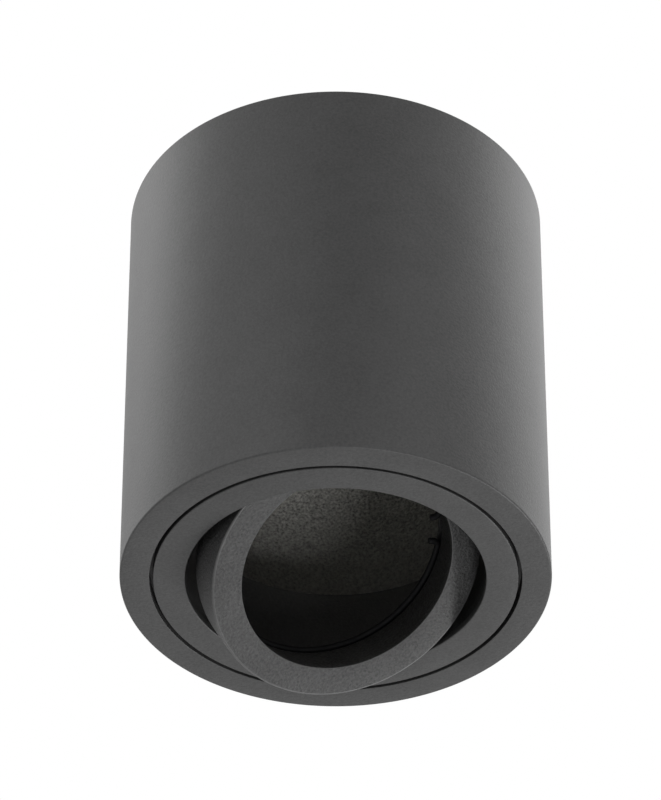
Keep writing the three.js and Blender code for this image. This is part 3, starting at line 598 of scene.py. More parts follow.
def add_specks(material, colour, spacing):
    """A speck of the colour in the middle of each cell, the cells being spacing millimetres wide."""
    tree, where, pattern, base = nodes_of(material)
    cells = add(tree, "ShaderNodeTexVoronoi", {"Vector": where, "Scale": 1 / (spacing * MM)})
    middle = cells.outputs["Distance"]
    speck = scaled(tree, middle, 0.05, 0.09, 0.55, 0.0)
    fleck = ramp(tree, pattern, [(0.0, colour), (1.0, colour)])
    tree.links.new(mixed(tree, speck, base.links[0].from_socket, fleck), base)


def paint_light_higher_up(material, dark, light, low, high):
    """Turns the colours into dark to light between two heights in millimetres: painted light, paler higher
    up.
    """
    tree, where, pattern, base = nodes_of(material)
    height = add(tree, "ShaderNodeSeparateXYZ", {0: where}).outputs["Z"]
    share = scaled(tree, height, low * MM, high * MM)
    painted_light_colour = ramp(tree, pattern, [(0.3, dark), (0.7, light)])
    tree.links.new(mixed(tree, share, base.links[0].from_socket, painted_light_colour), base)


add_specks(ceramic, "#8a7a62", 2.4)
# Painted light: the inner wall turns paler from 62 to 40 mm below the ceiling, where light through the ring
# falls.
paint_light_higher_up(inside_coat_and_painted_light, "#696865", "#f2f1ec", -62, -40)


def wave(tree, value, times):
    """Sine of a value times a number of half turns."""
    return maths(tree, "SINE", maths(tree, "MULTIPLY", value, times * PI))


# Glass-fibre sleeve braided over the insulation: strands of about 0.5 mm cross on a slant, raw grey
# with a tan lacquer in the hollows. The piece's own map is (millimetres along, turns round).
def glass_braid():
    material, tree, shader, where = new_material("braided_glass_fibre", Roughness=0.7, IOR=1.5)
    split = add(tree, "ShaderNodeSeparateXYZ", {0: add(tree, "ShaderNodeUVMap").outputs[0]}).outputs
    strands, strands_per_mm = 6.0, 0.9
    slants = []
    for way in (1, -1):
        turn = maths(tree, "MULTIPLY", split["Y"], strands * way)
        slants.append(wave(tree, maths(tree, "MULTIPLY_ADD", split["X"], strands_per_mm, turn), 2.0))
    high = scaled(tree, maths(tree, "MULTIPLY", *slants), -1.0, 1.0)
    both = blend_of(tree, high, noise(tree, where, 0.15), 0.25)
    tree.links.new(ramp(tree, both, [(0.2, "#6b6353"), (0.75, "#a59c89")]), shader.inputs["Base Color"])
    relief(tree, shader, both, 0.12)
    return material


# Insulation of the earth lead, extruded in green with a yellow stripe along each side.
def green_and_yellow():
    material, tree, shader, where = new_material("green_yellow_insulation", Roughness=0.42, IOR=1.5)
    split = add(tree, "ShaderNodeSeparateXYZ", {0: add(tree, "ShaderNodeUVMap").outputs[0]}).outputs
    stripe = scaled(tree, wave(tree, split["Y"], 4.0), -0.06, 0.06)
    cloud = noise(tree, where, 2.5)
    green = ramp(tree, cloud, [(0.3, "#2f7f3c"), (0.7, "#3c9148")])
    yellow = ramp(tree, cloud, [(0.3, "#cdb52e"), (0.7, "#dcc63d")])
    tree.links.new(mixed(tree, stripe, green, yellow), shader.inputs["Base Color"])
    relief(tree, shader, noise(tree, where, 0.5), 0.01)
    return material


sleeve = glass_braid()
earth_sleeve = green_and_yellow()

# What each finish is the slot of
SLOTS = {material.name: slot for material, slot in (
    (coat, "powder_coat_black"), (ring_coat, "powder_coat_black"), (spring_steel, "spring_steel"),
    (black_wire, "black_spring_steel"), (zinc, "zinc_plated_steel"), (brass, "brass"),
    (polyamide, "polyamide"), (rubber, "rubber"), (ceramic, "ceramic"),
    (sleeve, "lead_insulation"), (earth_sleeve, "earth_insulation"))}


# Housing
def housing():
    """The cup's profile carried round, the flat ceiling wall cut round its openings, and the
    openings' and bosses' walls carried along their outlines."""
    soft, floor, bottom, ledge, shoulder = 0.2, -CEILING_WALL, -BODY_HEIGHT, -94.4, -85.4
    rebate, rim_bore, outer_flat, inner_flat = 38.8, 37.0, BODY_RADIUS - 1.0, 39.0
    cup = rounded([
        (outer_flat, 0, 0), (BODY_RADIUS, 0, 0.45), (BODY_RADIUS, bottom, 0.45),
        (rebate, bottom, 0.12), (rebate, ledge, 0.1), (rim_bore, ledge, 0.2), (rim_bore, shoulder, 0.3),
        (INNER_RADIUS, shoulder + 3.0, 0.6), (INNER_RADIUS, floor, 2.0), (inner_flat, floor, 0),
    ])
    patches = [revolve(cup)]
    slots = [outline(5.2, 10.0, 2.6, (x, 0)) for x in CEILING_SLOTS]
    entry = circle(6.5, CABLE_ENTRY, 24)
    pocket = circle(8.8, CABLE_ENTRY, 24)
    bosses = [(circle(boss, centre), circle(hole, centre), height) for boss, hole, height, centre in (
        *[(3.2, BLOCK_SCREW_HOLE, 2.5, (x, BLOCK[1])) for x in BLOCK_SCREWS],
        (4.5, EARTH_HOLE, 4.0, EARTH[:2]))]
    rim = on_circle(1, full_turn(ROUND))
    patches.append(plate([rim * outer_flat, at(pocket, soft), *all_at(slots, soft)], 0))
    patches.append(plate([rim * inner_flat, at(entry, soft), *all_at(slots, soft),
                          *all_at([boss for boss, _, _ in bosses], soft)], floor))
    through = rounded([(soft + 0.01, 0, 0), (0, 0, soft), (0, floor, soft), (soft + 0.01, floor, 0)])
    through = np.clip(through, [0, floor], [soft, 0])
    patches += all_carried(slots, through)
    step = rounded([(2.3 + soft, 0, 0), (2.3, 0, soft), (2.3, -1.8, 0.1), (0, -1.8, soft), (0, floor, soft),
                    (soft, floor, 0)])
    patches.append(carried(entry, step))
    for boss, hole, height in bosses:
        end, depth = floor - height, floor + 1.5
        side = rounded([(soft, floor, 0), (0, floor, soft), (0, end, 0.3), (-0.5, end, 0)])
        patches.append(carried(boss, side))
        patches.append(plate([at(boss, -0.5), at(hole, soft)], end))
        patches.append(carried(hole, rounded([(soft, end, 0), (0, end, soft), (0, depth, 0)])))
        patches.append(lid(raised(hole[0], depth)))

    def inside(middles):
        radius, height = np.hypot(middles[:, 0], middles[:, 1]), middles[:, 2]
        return (radius < INNER_RADIUS + 0.1) & (height < floor + 0.1) & (height > shoulder - 0.2)

    dress("housing_shell", patches, coat, second=inside_coat_and_painted_light, uses_second=inside)


def cable_grommet():
    """The grommet's profile carried round the cable entry: a sunk flange, a waist in the wall, and a
    domed flange inside with a bead round the bore."""
    profile = rounded([
        (4.0, -4.9, 0.3), (5.2, -4.9, 0.2), (5.6, -4.6, 0.2), (7.7, -4.6, 0.6), (8.5, -3.3, 0.2),
        (6.2, -3.3, 0.15), (6.2, -1.2, 0.15), (8.5, -1.2, 0.2), (8.5, -0.3, 0.35), (6.2, -0.3, 0.3),
        (5.7, -0.6, 0.3), (4.0, -0.6, 0.25), (4.0, -2.2, 0.3), (4.4, -2.7, 0.3), (4.0, -3.2, 0.3),
    ], closed=True)
    patches = [revolve(profile, 96, closed=True)]
    dress("cable_grommet", placed(patches, shift=(*CABLE_ENTRY, 0)), rubber)


# Screws
def screw(head, height, shank, length, slot, depth, pitch):
    """A slotted cheese-head screw, its head's underside at zero and its head down. Above the slot's
    floor the head is two half-moons, each row an arc whose ends lie on the slot's wall; below it
    rows are full circles. The thread's radius is a wave of height and angle together."""
    edge, half, floor = 0.35 * depth, slot / 2, height - depth
    turn = np.linspace(0, PI / 2, 4)
    rim = np.column_stack([head - edge + edge * np.sin(turn), height - edge + edge * np.cos(turn)])
    rows = np.vstack([rim, [head, floor]])
    share = np.linspace(0, 1, 17)
    start = np.arcsin(half / rows[:, :1])
    moon = start + share * (PI - 2 * start)
    patches = []
    for side in (1, -1):
        height_of = np.broadcast_to(rows[:, 1:, None], (*moon.shape, 1))
        grid = np.concatenate([on_circle(rows[:, :1], moon), height_of], -1) * [side, side, 1]
        patches.append((grid.reshape(-1, 3), grid_faces(*moon.shape)))
        patches.append((grid[0], [list(range(len(share)))]))
        wall = grid[:, [0, -1]]
        patches.append((wall.reshape(-1, 3), grid_faces(len(rows), 2)))
    gap = np.linspace(-start[-1, 0], start[-1, 0], 4)[1:-1]
    around = np.concatenate([moon[-1], gap + PI, moon[-1] + PI, gap + 2 * PI])
    last = len(share) - 1
    ends = np.r_[0, last:last + 4, 2 * last + 3:2 * last + 6]
    slot_floor = raised(on_circle(head, around), floor)
    patches.append((slot_floor[ends], [list(range(len(ends)))]))
    neck = np.array([[head, floor], [head, 0.12], [head - 0.12, 0], [shank + 0.15, 0], [shank, -0.15]])
    count = int((length - 0.7) / pitch * 6)
    z = np.linspace(-0.5, 0.2 - length, count)[:, None]
    fade = np.clip((-z - 0.5) / pitch, 0, 1) * np.clip((z + length - 0.1) / pitch, 0, 1)
    tooth = 0.6 * pitch
    thread = shank - tooth * fade * (0.5 + 0.5 * np.cos(2 * PI * z / pitch - around)) ** 1.5
    tip = np.array([[shank - 0.5 * tooth, -length + 0.05], [shank - tooth, -length]])
    level = np.zeros(len(around))
    r = np.vstack([neck[:, :1] + level, thread, tip[:, :1] + level])
    z = np.vstack([neck[:, 1:] + level, z + level, tip[:, 1:] + level])
    body = np.concatenate([on_circle(r, around), z[..., None]], -1)
    patches.append((body.reshape(-1, 3), grid_faces(len(r), len(around), False, True)))
    patches.append(lid(body[-1]))
    return placed(patches, UPSIDE_DOWN)


# Terminal block and earth point
def terminal_block():
    """The moulding's outline with its two pairs of notches, carried down its height. Wells and
    counterbores are sunk from below, and each pole's bore runs through a flat window in both long
    sides, its wall cut round the wells that meet it."""
    soft, bore, well = 0.25, 2.9, 2.0
    low, deep = soft - BLOCK_HEIGHT, -9.6
    corner, notch, notch_floor, long_side, end = 1.2, 0.6, 5.5, 8.5, 15.8
    near, far = BLOCK_SCREWS[1] - notch, BLOCK_SCREWS[1] + notch
    quarter, bottom = np.linspace(0, PI / 2, 7), np.linspace(0, -PI, 9)
    side = [on_circle(corner, quarter, (end, long_side - corner))]
    for x in BLOCK_SCREWS[::-1]:
        side += [[[x + notch, long_side]], on_circle(notch, bottom, (x, notch_floor)),
                 [[x - notch, long_side]]]
    side.append(on_circle(corner, quarter)[:, ::-1] * [-1, 1] + [-end, long_side - corner])
    side = np.concatenate(side)
    loop = mitred(np.concatenate([side, -side]))
    turn = np.linspace(0, PI / 2, 4)
    top_edge = np.column_stack([soft * np.sin(turn) - soft, soft * np.cos(turn) - soft])
    low_edge = np.column_stack([soft * np.cos(turn) - soft, low - soft * np.sin(turn)])
    patches = [carried(loop, top_edge), carried(loop, low_edge)]
    points = loop[0]
    count = len(points)
    i = np.arange(count)
    after = (i + 1) % count
    middle = (points + points[after])[:, 0] / 2
    bored = (np.abs(points[:, 1]) == long_side) & (np.abs(points[after, 1]) == long_side)
    windows = np.array([-1, 0, 1]) * (far + end) / 2
    bored &= np.min(np.abs(middle[:, None] - windows), 1) < 0.1
    walls = np.column_stack([i, after, after + count, i + count])[~bored]
    patches.append((np.concatenate([raised(points, -soft), raised(points, low)]), walls))
    around = full_turn(FINE, SEAM)
    funnel = rounded([(bore + soft, long_side, 0), (bore, long_side - soft, 0)])
    wells = []
    for x, left, right in zip(POLES, (-end, -near, far), (-far, near, end)):
        mouth = on_circle(bore + soft, around, (x, -POLE_DROP))
        flat, faces = cut_flat([[(left, -soft), (right, -soft), (right, low), (left, low)], mouth])
        patches += [(stood_up(flat, y), faces) for y in (-long_side, long_side)]
        skin, rims = holed_wall(lambda z: bore + 0 * z, soft - long_side, long_side - soft,
                                [(-PI / 2, y, well) for y in POLE_SCREWS], segments=FINE)
        ends = [revolve(funnel * [1, way], FINE, start=SEAM) for way in (-1, 1)]
        patches += placed([skin, *ends], Z_TO_BACK, (x, 0, -POLE_DROP))
        for rim in rims:
            rim = rim @ Z_TO_BACK.T + [x, 0, -POLE_DROP]
            flat = rim[:, :2]
            centre = flat.mean(0)
            wells.append(centre + (flat - centre) * (1 + soft / well))
            patches.append(between(rim, raised(flat, low), raised(wells[-1], -BLOCK_HEIGHT)))
    holes = [circle(BLOCK_SCREW_HOLE, (x, 0)) for x in BLOCK_SCREWS]
    sunk = 1.3
    patches += all_carried(holes, rounded([
        (soft, 0, 0), (0, -soft, 0), (0, deep, 0.1), (sunk, deep, 0.1), (sunk, low, 0),
        (sunk + soft, -BLOCK_HEIGHT, 0)]))
    patches.append(plate([at(loop, -soft), *all_at(holes, soft)], 0))
    patches.append(plate([at(loop, -soft), *all_at(holes, sunk + soft), *wells], -BLOCK_HEIGHT))
    dress("terminal_block", placed(patches, shift=BLOCK), polyamide)


def terminal_barrel(number, x):
    """A turned tube, its outer and inner wall cut round two tapped holes from below."""
    holes = [(-PI / 2, y, 1.25) for y in POLE_SCREWS]
    inner, outer, wall, tip = 1.4, 2.6, 6.8, 7.0
    end = rounded([(inner, wall, 0), (inner, tip, 0.12), (outer, tip, 0.12), (outer, wall, 0)])
    patches = bored_tube((outer, inner), -wall, wall, holes, FINE)
    patches += [revolve(end * [1, way], FINE, start=SEAM) for way in (-1, 1)]
    dress(f"terminal_barrel_{number}", placed(patches, Z_TO_BACK, BLOCK + [x, 0, -POLE_DROP]), brass)


def earth_washer():
    """A flat ring whose outer radius and height follow the sine of twelve turns: twisted teeth."""
    around = full_turn(ROUND)
    twist = np.sin(12 * around)
    tooth = 3.8 - 0.7 * (0.5 - 0.5 * np.cos(12 * around)) ** 2
    inner, root, low, high, bend = EARTH_HOLE, 2.75, 0.15, 0.65, 0.14
    rows = [(inner, low, 0), (root, low, 0), (tooth, low, bend), (tooth, high, bend), (root, high, 0),
            (inner, high, 0)]
    grid = np.stack([np.column_stack([on_circle(r, around), z + out * twist]) for r, z, out in rows])
    patch = grid.reshape(-1, 3), grid_faces(len(rows), ROUND, True, True)
    dress("earth_washer", placed([patch], EARTH_TURN, EARTH + [0, 0, -1.1]), zinc)


def earth_lug():
    """A ring tongue cut from strip, and a rolled crimp whose outer radius dips where it is pressed and
    along its seam."""
    eye, half, reach, thick = 4.1, 2.0, -7.4, 0.8
    turn = np.arcsin(half / eye)
    arc = np.linspace(turn - PI, PI - turn, 61)
    tongue = np.vstack([on_circle(eye, arc), [(reach, half), (reach, -half)]])
    loop, hole = mitred(tongue), circle(EARTH_HOLE)
    edge = rounded([(-0.1, 0, 0), (0, 0, 0.09), (0, thick, 0.09), (-0.1, thick, 0)])
    patches = [carried(loop, edge), carried(hole, edge * [-1, 1])]
    patches += [plate([at(loop, -0.1), at(hole, 0.1)], z) for z in (0, thick)]
    around = full_turn(64)
    along = np.linspace(0, 5, 26)[:, None]
    press = 0.32 * np.exp(-((along - 2.5) / 1.1) ** 2) * np.sin(around) ** 4
    seam = 0.25 * np.exp(-((around - 1.5 * PI) / 0.09) ** 2)
    outer = 2.0 - press - seam
    inner = np.full_like(outer, 1.25)
    r = np.vstack([outer, inner[::-1]])
    x = np.vstack([along, along[::-1]]) + 0 * r
    crimp = np.stack([-6.7 - x, r * np.cos(around), r * np.sin(around) - 1.2], -1)
    patches.append((crimp.reshape(-1, 3), grid_faces(len(r), 64, True, True)))
    dress("earth_lug", placed(patches, EARTH_TURN, EARTH + [0, 0, -2.2]), zinc)


# Lampholder
def pin_slot():
    """The outline of a pin's entry and track, seen from the entry's centre: on each bearing the
    furthest point that lies in the entry's circle or in the track's part of a ring."""
    entry, pin_place = 3.1, (5.0, 0)
    bearing = full_turn(96)
    reach = np.linspace(entry, 5.0, 300)
    x, y = np.moveaxis(on_circle(reach, bearing[:, None], pin_place), -1, 0)
    radius, angle = np.hypot(x, y), np.degrees(np.arctan2(y, x))
    in_track = (radius > 3.3) & (radius < 6.7) & (angle > 0) & (angle < 32)
    far = np.max(np.where(in_track, reach, entry), 1)
    out = on_circle(1, bearing)
    return out * far[:, None] + pin_place, out


def lampholder_base():
    """The pressed body: a rounded outline carried up, pin slots from below that open into two
    pockets from above, and two blind screw holes."""
    soft, flare, edge = 0.15, 0.3, -0.6
    top, floor, depth = 14, 4.0, 5.7
    outer = outline(*HOLDER_BODY)
    slot = pin_slot()
    slots = [(slot[0] * way, slot[1] * way) for way in (1, -1)]
    pockets = [outline(8.2, 11, 0.8, (way * 5.3, 0)) for way in (1, -1)]
    screws = [circle(HOLDER_SCREW_HOLE, (x, 0)) for x in HOLDER_SCREWS]
    patches = [carried(outer, rounded([(edge, 0, 0), (0, 0, 0.5), (0, top, 0.4), (edge, top, 0)]))]
    patches.append(plate([at(outer, edge), *all_at(slots, flare)], 0))
    patches.append(plate([at(outer, edge), *all_at(pockets + screws, soft)], top))
    patches += all_carried(slots, np.array([(flare, 0), (0, flare), (0, floor)]))
    patches += [plate([at(pocket, 0), at(s, 0)], floor) for pocket, s in zip(pockets, slots)]
    for loops, end in ((pockets, floor), (screws, depth)):
        patches += all_carried(loops, np.array([(soft, top), (0, top - soft), (0, end)]))
    patches += [lid(raised(s[0], depth)) for s in screws]
    dress("lampholder_base", placed(patches, shift=HOLDER), ceramic)


def lampholder_cover():
    """A flat cap with two collars that the leads come out of."""
    soft, foot, edge = 0.15, 0.3, -0.6
    cap, top = 6, 8
    outer = outline(*HOLDER_BODY)
    collars, bores = ([circle(radius, (x, 0)) for x in (LEAD_EXIT, -LEAD_EXIT)] for radius in (2.5, 1.4))
    screws = [circle(HOLDER_SCREW_HOLE, (x, 0)) for x in HOLDER_SCREWS]
    patches = [carried(outer, rounded([(edge, 0, 0), (0, 0, 0.3), (0, cap, 0.5), (edge, cap, 0)]))]
    patches.append(plate([at(outer, edge), *all_at(bores + screws, soft)], 0))
    patches.append(plate([at(outer, edge), *all_at(collars, foot), *all_at(screws, soft)], cap))
    patches += all_carried(collars, rounded([(foot, cap, 0), (0, cap, 0.25), (0, top, 0.3), (-0.5, top, 0)]))
    patches += [plate([at(collar, -0.5), at(bore, soft)], top) for collar, bore in zip(collars, bores)]
    for loops, end in ((bores, top), (screws, cap)):
        patches += all_carried(loops, np.array([(soft, end), (0, end - soft), (0, soft), (soft, 0)]))
    dress("lampholder_cover", placed(patches, shift=HOLDER + [0, 0, HOLDER_COVER]), ceramic)


def lampholder_contact(hand, turn):
    """A strip's bent outline carried across its width."""
    bent = rounded([(8.6, 5.4, 0.1), (9.1, 5.4, 0.1), (9.1, 12.6, 0.6), (2.9, 12.6, 0.1), (2.9, 12.1, 0.1),
                    (8.6, 12.1, 0.15)], closed=True)
    flat, faces = cut_flat([bent])
    sides = (-2.5, 2.5)
    patches = [between(*[stood_up(bent, y) for y in sides])]
    patches += [(stood_up(flat, y), faces) for y in sides]
    dress(f"lampholder_contact_{hand}", placed(patches, turn, HOLDER), zinc)


# Leads
def lead(node, points, material):
    """A circle carried along the smooth route, with its own map of millimetres along and
    turns round."""
    sides = 20
    path, marks = evened(smooth_through(points, 24), 0.55)
    rows = len(path)
    grid = (path[:, None] + LEAD_RADIUS * rings_along(path, sides)[1]).reshape(-1, 3)
    faces = grid_faces(rows, sides, False, True)
    ends = np.vstack([path[0], path[-1]])
    count = rows * sides
    i = np.arange(sides)
    after = (i + 1) % sides
    last = count - sides
    start_cap = np.column_stack([after, i, np.full(sides, count)])
    end_cap = np.column_stack([last + i, last + after, np.full(sides, count + 1)])
    mesh = bpy.data.meshes.new(f"{node}_dressed")
    points = np.vstack([grid, ends]) * MM
    mesh.from_pydata(points.tolist(), [], faces.tolist() + start_cap.tolist() + end_cap.tolist())
    layer = mesh.uv_layers.new(name="along_and_round")
    column = np.tile(i, rows - 1)
    u0, u1 = np.repeat(marks[:-1], sides), np.repeat(marks[1:], sides)
    v0, v1 = column / sides, (column + 1) / sides
    corners = (u0, v0), (u0, v1), (u1, v1), (u1, v0)
    sheet = np.stack([np.column_stack(corner) for corner in corners], 1)
    caps = np.zeros(2 * 3 * sides * 2)
    layer.data.foreach_set("uv", np.concatenate([sheet.ravel(), caps]).astype(np.float32))
    shape = bmesh.new()
    shape.from_mesh(mesh)
    bmesh.ops.recalc_face_normals(shape, faces=shape.faces)
    shape.to_mesh(mesh)
    shape.free()
    join_scene(node, mesh, "housing", material)


def leads():
    """The routes of the model: out of a pole, round inside the housing, down into the cover; and
    the earth lead, out of its pole and back to the lug."""
    def out_of(pole):
        return [(pole, y, BLOCK[2] - POLE_DROP) for y in (-14, -16.5, -19.5)]

    for node, side, pole in (("lead_live", -1, POLES[0]), ("lead_neutral", 1, POLES[1])):
        route = out_of(pole)
        for turn, share, drop in LEAD_ROUTE:
            angle = -PI / 2 + side * np.radians(turn)
            route.append((*on_circle(share * INNER_RADIUS, angle), HOLDER[2] * drop))
        x = side * LEAD_EXIT
        route += [(x, 4.5, -22.45), (x, 0, -24.7), (x, 0, -27.7), (x, 0, -32.4), (x, 0, -37.1)]
        lead(node, route, sleeve)
    radius, centre = 4.5, (POLES[2] + 4.5, -19.5)
    bends = raised(on_circle(radius, PI + np.radians([33.75, 67.5, 101.25]), centre), -10.85)
    start = np.array([*on_circle(radius, -PI / 4, centre), -10.4])
    ahead = np.array([*on_circle(1, PI / 4), 0])
    route = [*out_of(POLES[2]), *bends, start, start + 3 * ahead, start + 5.5 * ahead]
    lead("lead_earth", route, earth_sleeve)


# Trim ring and its springs
def trim_ring():
    """Flange and collar carried round the pivot centre, the collar bored for pivots and rivets."""
    face, low, top = -7.4, -3.9, 12.6
    profile = rounded([
        (COLLAR_OUTSIDE, low, 0), (COLLAR_OUTSIDE, -5.1, 0.2), (38.05, -5.1, 0.15), (38.05, face, 0.25),
        (31.3, face, 0.3), (31.3, -6.0, 0.25), (COLLAR_INSIDE, -4.8, 0.3), (COLLAR_INSIDE, low, 0),
    ])
    lip = rounded([(COLLAR_INSIDE, top, 0), (COLLAR_INSIDE, 13.5, 0.3), (COLLAR_OUTSIDE, 13.5, 0.3),
                   (COLLAR_OUTSIDE, top, 0)])
    holes = [(angle, 0.0, PIVOT_HOLE) for angle in (0, PI)]
    holes += [(angle, RIVET_RISE, RIVET_HOLE) for angle in full_turn(3, PI / 2)]
    patches = [revolve(profile, start=SEAM), revolve(lip, start=SEAM)]
    patches += bored_tube((COLLAR_INSIDE, COLLAR_OUTSIDE), low, top, holes)
    dress("trim_ring", placed(patches, TRIM, PIVOT), coat, "trim")


def retaining_spring(number, turn):
    """A strip's flat pattern (along, across) laid on the bowed spine, and both faces pushed out by
    half the thickness along the spine's normal."""
    bow = [(35.0, 12.3), (35.0, 9.3), (35.0, 6.3), (36.28, 0.2), (35.5, -4.0)]
    spine, marks = evened(smooth_through(bow, 40, centripetal=False), 0.25)
    half = 0.2
    slope = np.gradient(spine, marks, axis=0)
    normal = np.column_stack([-slope[:, 1], slope[:, 0]])
    reach = marks[-1]
    border = outline(reach, 8.0, 1.2, (reach / 2, 0))[0]
    steps = [np.linspace(a, b, max(2, int(np.linalg.norm(b - a) / 0.6) + 1), endpoint=False)
             for a, b in zip(border, np.roll(border, -1, 0))]
    border = np.concatenate(steps)
    rivet = (3.0, 0)
    hole = circle(RIVET_HOLE, rivet)[0]
    spots = np.meshgrid(np.arange(0.6, reach - 0.5, 0.55), np.arange(-3.2, 3.3, 1.06))
    spots = np.stack(spots, -1).reshape(-1, 2)
    spots = spots[np.linalg.norm(spots - rivet, axis=1) > 1.8]

    def laid(flat, offset):
        x, z, nx, nz = (np.interp(flat[:, 0], marks, column) for column in (*spine.T, *normal.T))
        x = np.maximum(x - offset * nx, spine[0, 0] - half)
        return np.column_stack([x, flat[:, 1], z - offset * nz])

    flat, faces = cut_flat([border, hole], spots)
    patches = [(laid(flat, offset), faces) for offset in (-half, half)]
    patches += [between(laid(loop, -half), laid(loop, half)) for loop in (border, hole)]
    dress(f"retaining_spring_{number}", placed(patches, TRIM @ turn, PIVOT), spring_steel, "trim")


def spring_rivet(number, turn):
    """A semi-tubular rivet: domed head outside the spring, hollow tail flush in the collar."""
    dome = np.linspace(0, PI / 2, 10)
    tail = rounded([(0, 33.6, 0), (0.55, 33.4, 0.1), (0.7, 32.8, 0.05), (1.1, 32.8, 0.1), (1.1, 35.5, 0.05),
                    (1.9, 35.5, 0)])
    profile = np.vstack([tail, on_circle(1, dome) * [2.0, 0.9] + [0, 35.5]])
    patches = placed([revolve(profile, FINE)], TRIM @ turn @ Z_TO_X, PIVOT + [0, 0, RIVET_RISE])
    dress(f"spring_rivet_{number}", patches, zinc, "trim")


def friction_washer(number, turn):
    """A small ring round the pivot, between the ball and the collar."""
    inner, outer, near, far = PIVOT_HOLE, 2.8, 31.1, 32.05
    profile = rounded([(inner, near, 0.1), (outer, near, 0.15), (outer, far, 0.15), (inner, far, 0.1)],
                      closed=True)
    patches = placed([revolve(profile, FINE, closed=True)], TRIM @ turn @ Z_TO_X, PIVOT)
    dress(f"friction_washer_{number}", patches, spring_steel, "trim")


# Tilt ring, its clip and its pivots
def tilt_ring():
    """A ring with a flat front, the lamp's bore behind a lip and the clip's groove. Its side is lightly
    crowned, 29.96 less 0.0035 times the square of the height above -2, and draws in behind by 0.16 times
    the square of the height above 2.8. A flat pad stands round each pivot."""
    front, back = -7.2, 6.3
    low, high = front + 0.75, back - 0.7

    def side(z):
        return 29.96 - 0.0035 * (z + 2.0) ** 2 - 0.16 * np.maximum(z - 2.8, 0) ** 2

    profile = rounded([
        (side(high), high, 0), (side(back), back, 0.3), (SEAT_RADIUS, back, 0.3), (SEAT_RADIUS, 5.6, 0.1),
        (26.4, 5.6, 0.1), (26.4, 3.6, 0.1), (SEAT_RADIUS, 3.6, 0.1), (SEAT_RADIUS, -5.8, 0.2),
        (23.4, -5.8, 0.2), (23.4, front, 0.2), (side(front), front, 0.4), (side(low), low, 0),
    ])
    pad, bore, soft = 3.4, PIVOT_HOLE, 0.12
    skin, rims = holed_wall(side, low, high, [(0, 0.0, pad), (PI, 0.0, pad)])
    patches = [revolve(profile, start=SEAM), skin]
    steps = [(BALL_RADIUS - soft, pad), (BALL_RADIUS, pad - soft), (BALL_RADIUS, bore + soft),
             (BALL_RADIUS - soft, bore), (BALL_RADIUS - 3.8, bore)]
    for rim, way in zip(rims, (1, -1)):
        loops = [rim * [0, reach / pad, reach / pad] + [way * x, 0, 0] for x, reach in steps]
        patches += [between(rim, *loops), lid(loops[-1])]

    # Painted highlight: faces on the hole's edge and on the outer front edge take the paler coat.
    def painted_highlight_edges(middles):
        own = (middles - PIVOT) @ RING
        radius, behind = np.hypot(own[:, 0], own[:, 1]), own[:, 2] - front
        hole_edge = (radius < 23.61) & (behind < 0.2)
        outer_edge = (radius > side(front) - 0.39) & (behind < 0.39)
        return (behind > 0.005) & (hole_edge | outer_edge)

    dress("tilt_ring", placed(patches, RING, PIVOT), ring_coat, "tilting_ring",
          second=edge_highlight_coat, uses_second=painted_highlight_edges)


def lamp_clip():
    """A round wire on most of a circle, both ends bent inwards as ears on quarter arcs."""
    radius, wire, bend, ear, rise = 25.4, 0.7, 1.4, 0.7, 4.6
    first, last = np.radians([-26, 314])
    arc = np.linspace(first, last, 200)
    quarter = np.linspace(0, PI / 2, 9)[:-1]
    along = np.concatenate([[bend], bend * np.cos(quarter)]) / radius
    bent = radius - bend + np.concatenate([[-ear], bend * np.sin(quarter)])
    angle = np.concatenate([first - along, arc, (last + along)[::-1]])
    reach = np.concatenate([bent, np.full(len(arc), radius), bent[::-1]])
    path = raised(on_circle(reach, angle), rise)
    dress("lamp_clip", placed(wire_along(path, wire, 12), RING, PIVOT), black_wire, "tilting_ring")


# Assembly
def dress_screw(node, sizes, turned, place, material=zinc):
    """A screw of the housing, its slot turned by some degrees."""
    dress(node, placed(screw(*sizes), turn_about_z(turned), place), material)


housing()
cable_grommet()
terminal_block()
for number, x in enumerate(POLES, 1):
    terminal_barrel(number, x)
    for letter, y, turned in zip("ab", POLE_SCREWS, (20 * number, 95 - 35 * number)):
        seat = BLOCK + [x, y, TERMINAL_SEAT]
        dress_screw(f"terminal_screw_{number}{letter}", TERMINAL_SCREW, turned, seat)
for number, x, turned in zip((1, 2), BLOCK_SCREWS, (30, -50)):
    dress_screw(f"block_fixing_screw_{number}", BLOCK_SCREW, turned, BLOCK + [x, 0, BLOCK_SEAT])
earth_washer()
earth_lug()
dress_screw("earth_screw", EARTH_SCREW, 15, EARTH + [0, 0, EARTH_SEAT], brass)
lampholder_base()
lampholder_cover()
for hand, x, turned in zip(("left", "right"), HOLDER_SCREWS[::-1], (65, -20)):
    lampholder_contact(hand, turn_about_z(90 - 90 * np.sign(x)))
    turn = turn_about_z(turned) @ UPSIDE_DOWN
    head_up = placed(screw(*HOLDER_SCREW), turn, HOLDER + [x, 0, HOLDER_SEAT])
    dress(f"lampholder_screw_{hand}", head_up, zinc)
leads()
trim_ring()
for number in (1, 2, 3):
    turn = turn_about_z(120 * number - 30)
    retaining_spring(number, turn)
    spring_rivet(number, turn)
tilt_ring()
lamp_clip()
for number in (1, 2):
    turn = turn_about_z(180 * (number - 1))
    friction_washer(number, turn)
    slot_turn = turn_about_z(40 * number)
    head_out = placed(screw(*PIVOT_SCREW), Z_TO_X @ UPSIDE_DOWN @ slot_turn, (PIVOT_SEAT, 0, 0))
    dress(f"pivot_screw_{number}", placed(head_out, RING @ turn, PIVOT), zinc, "tilting_ring")


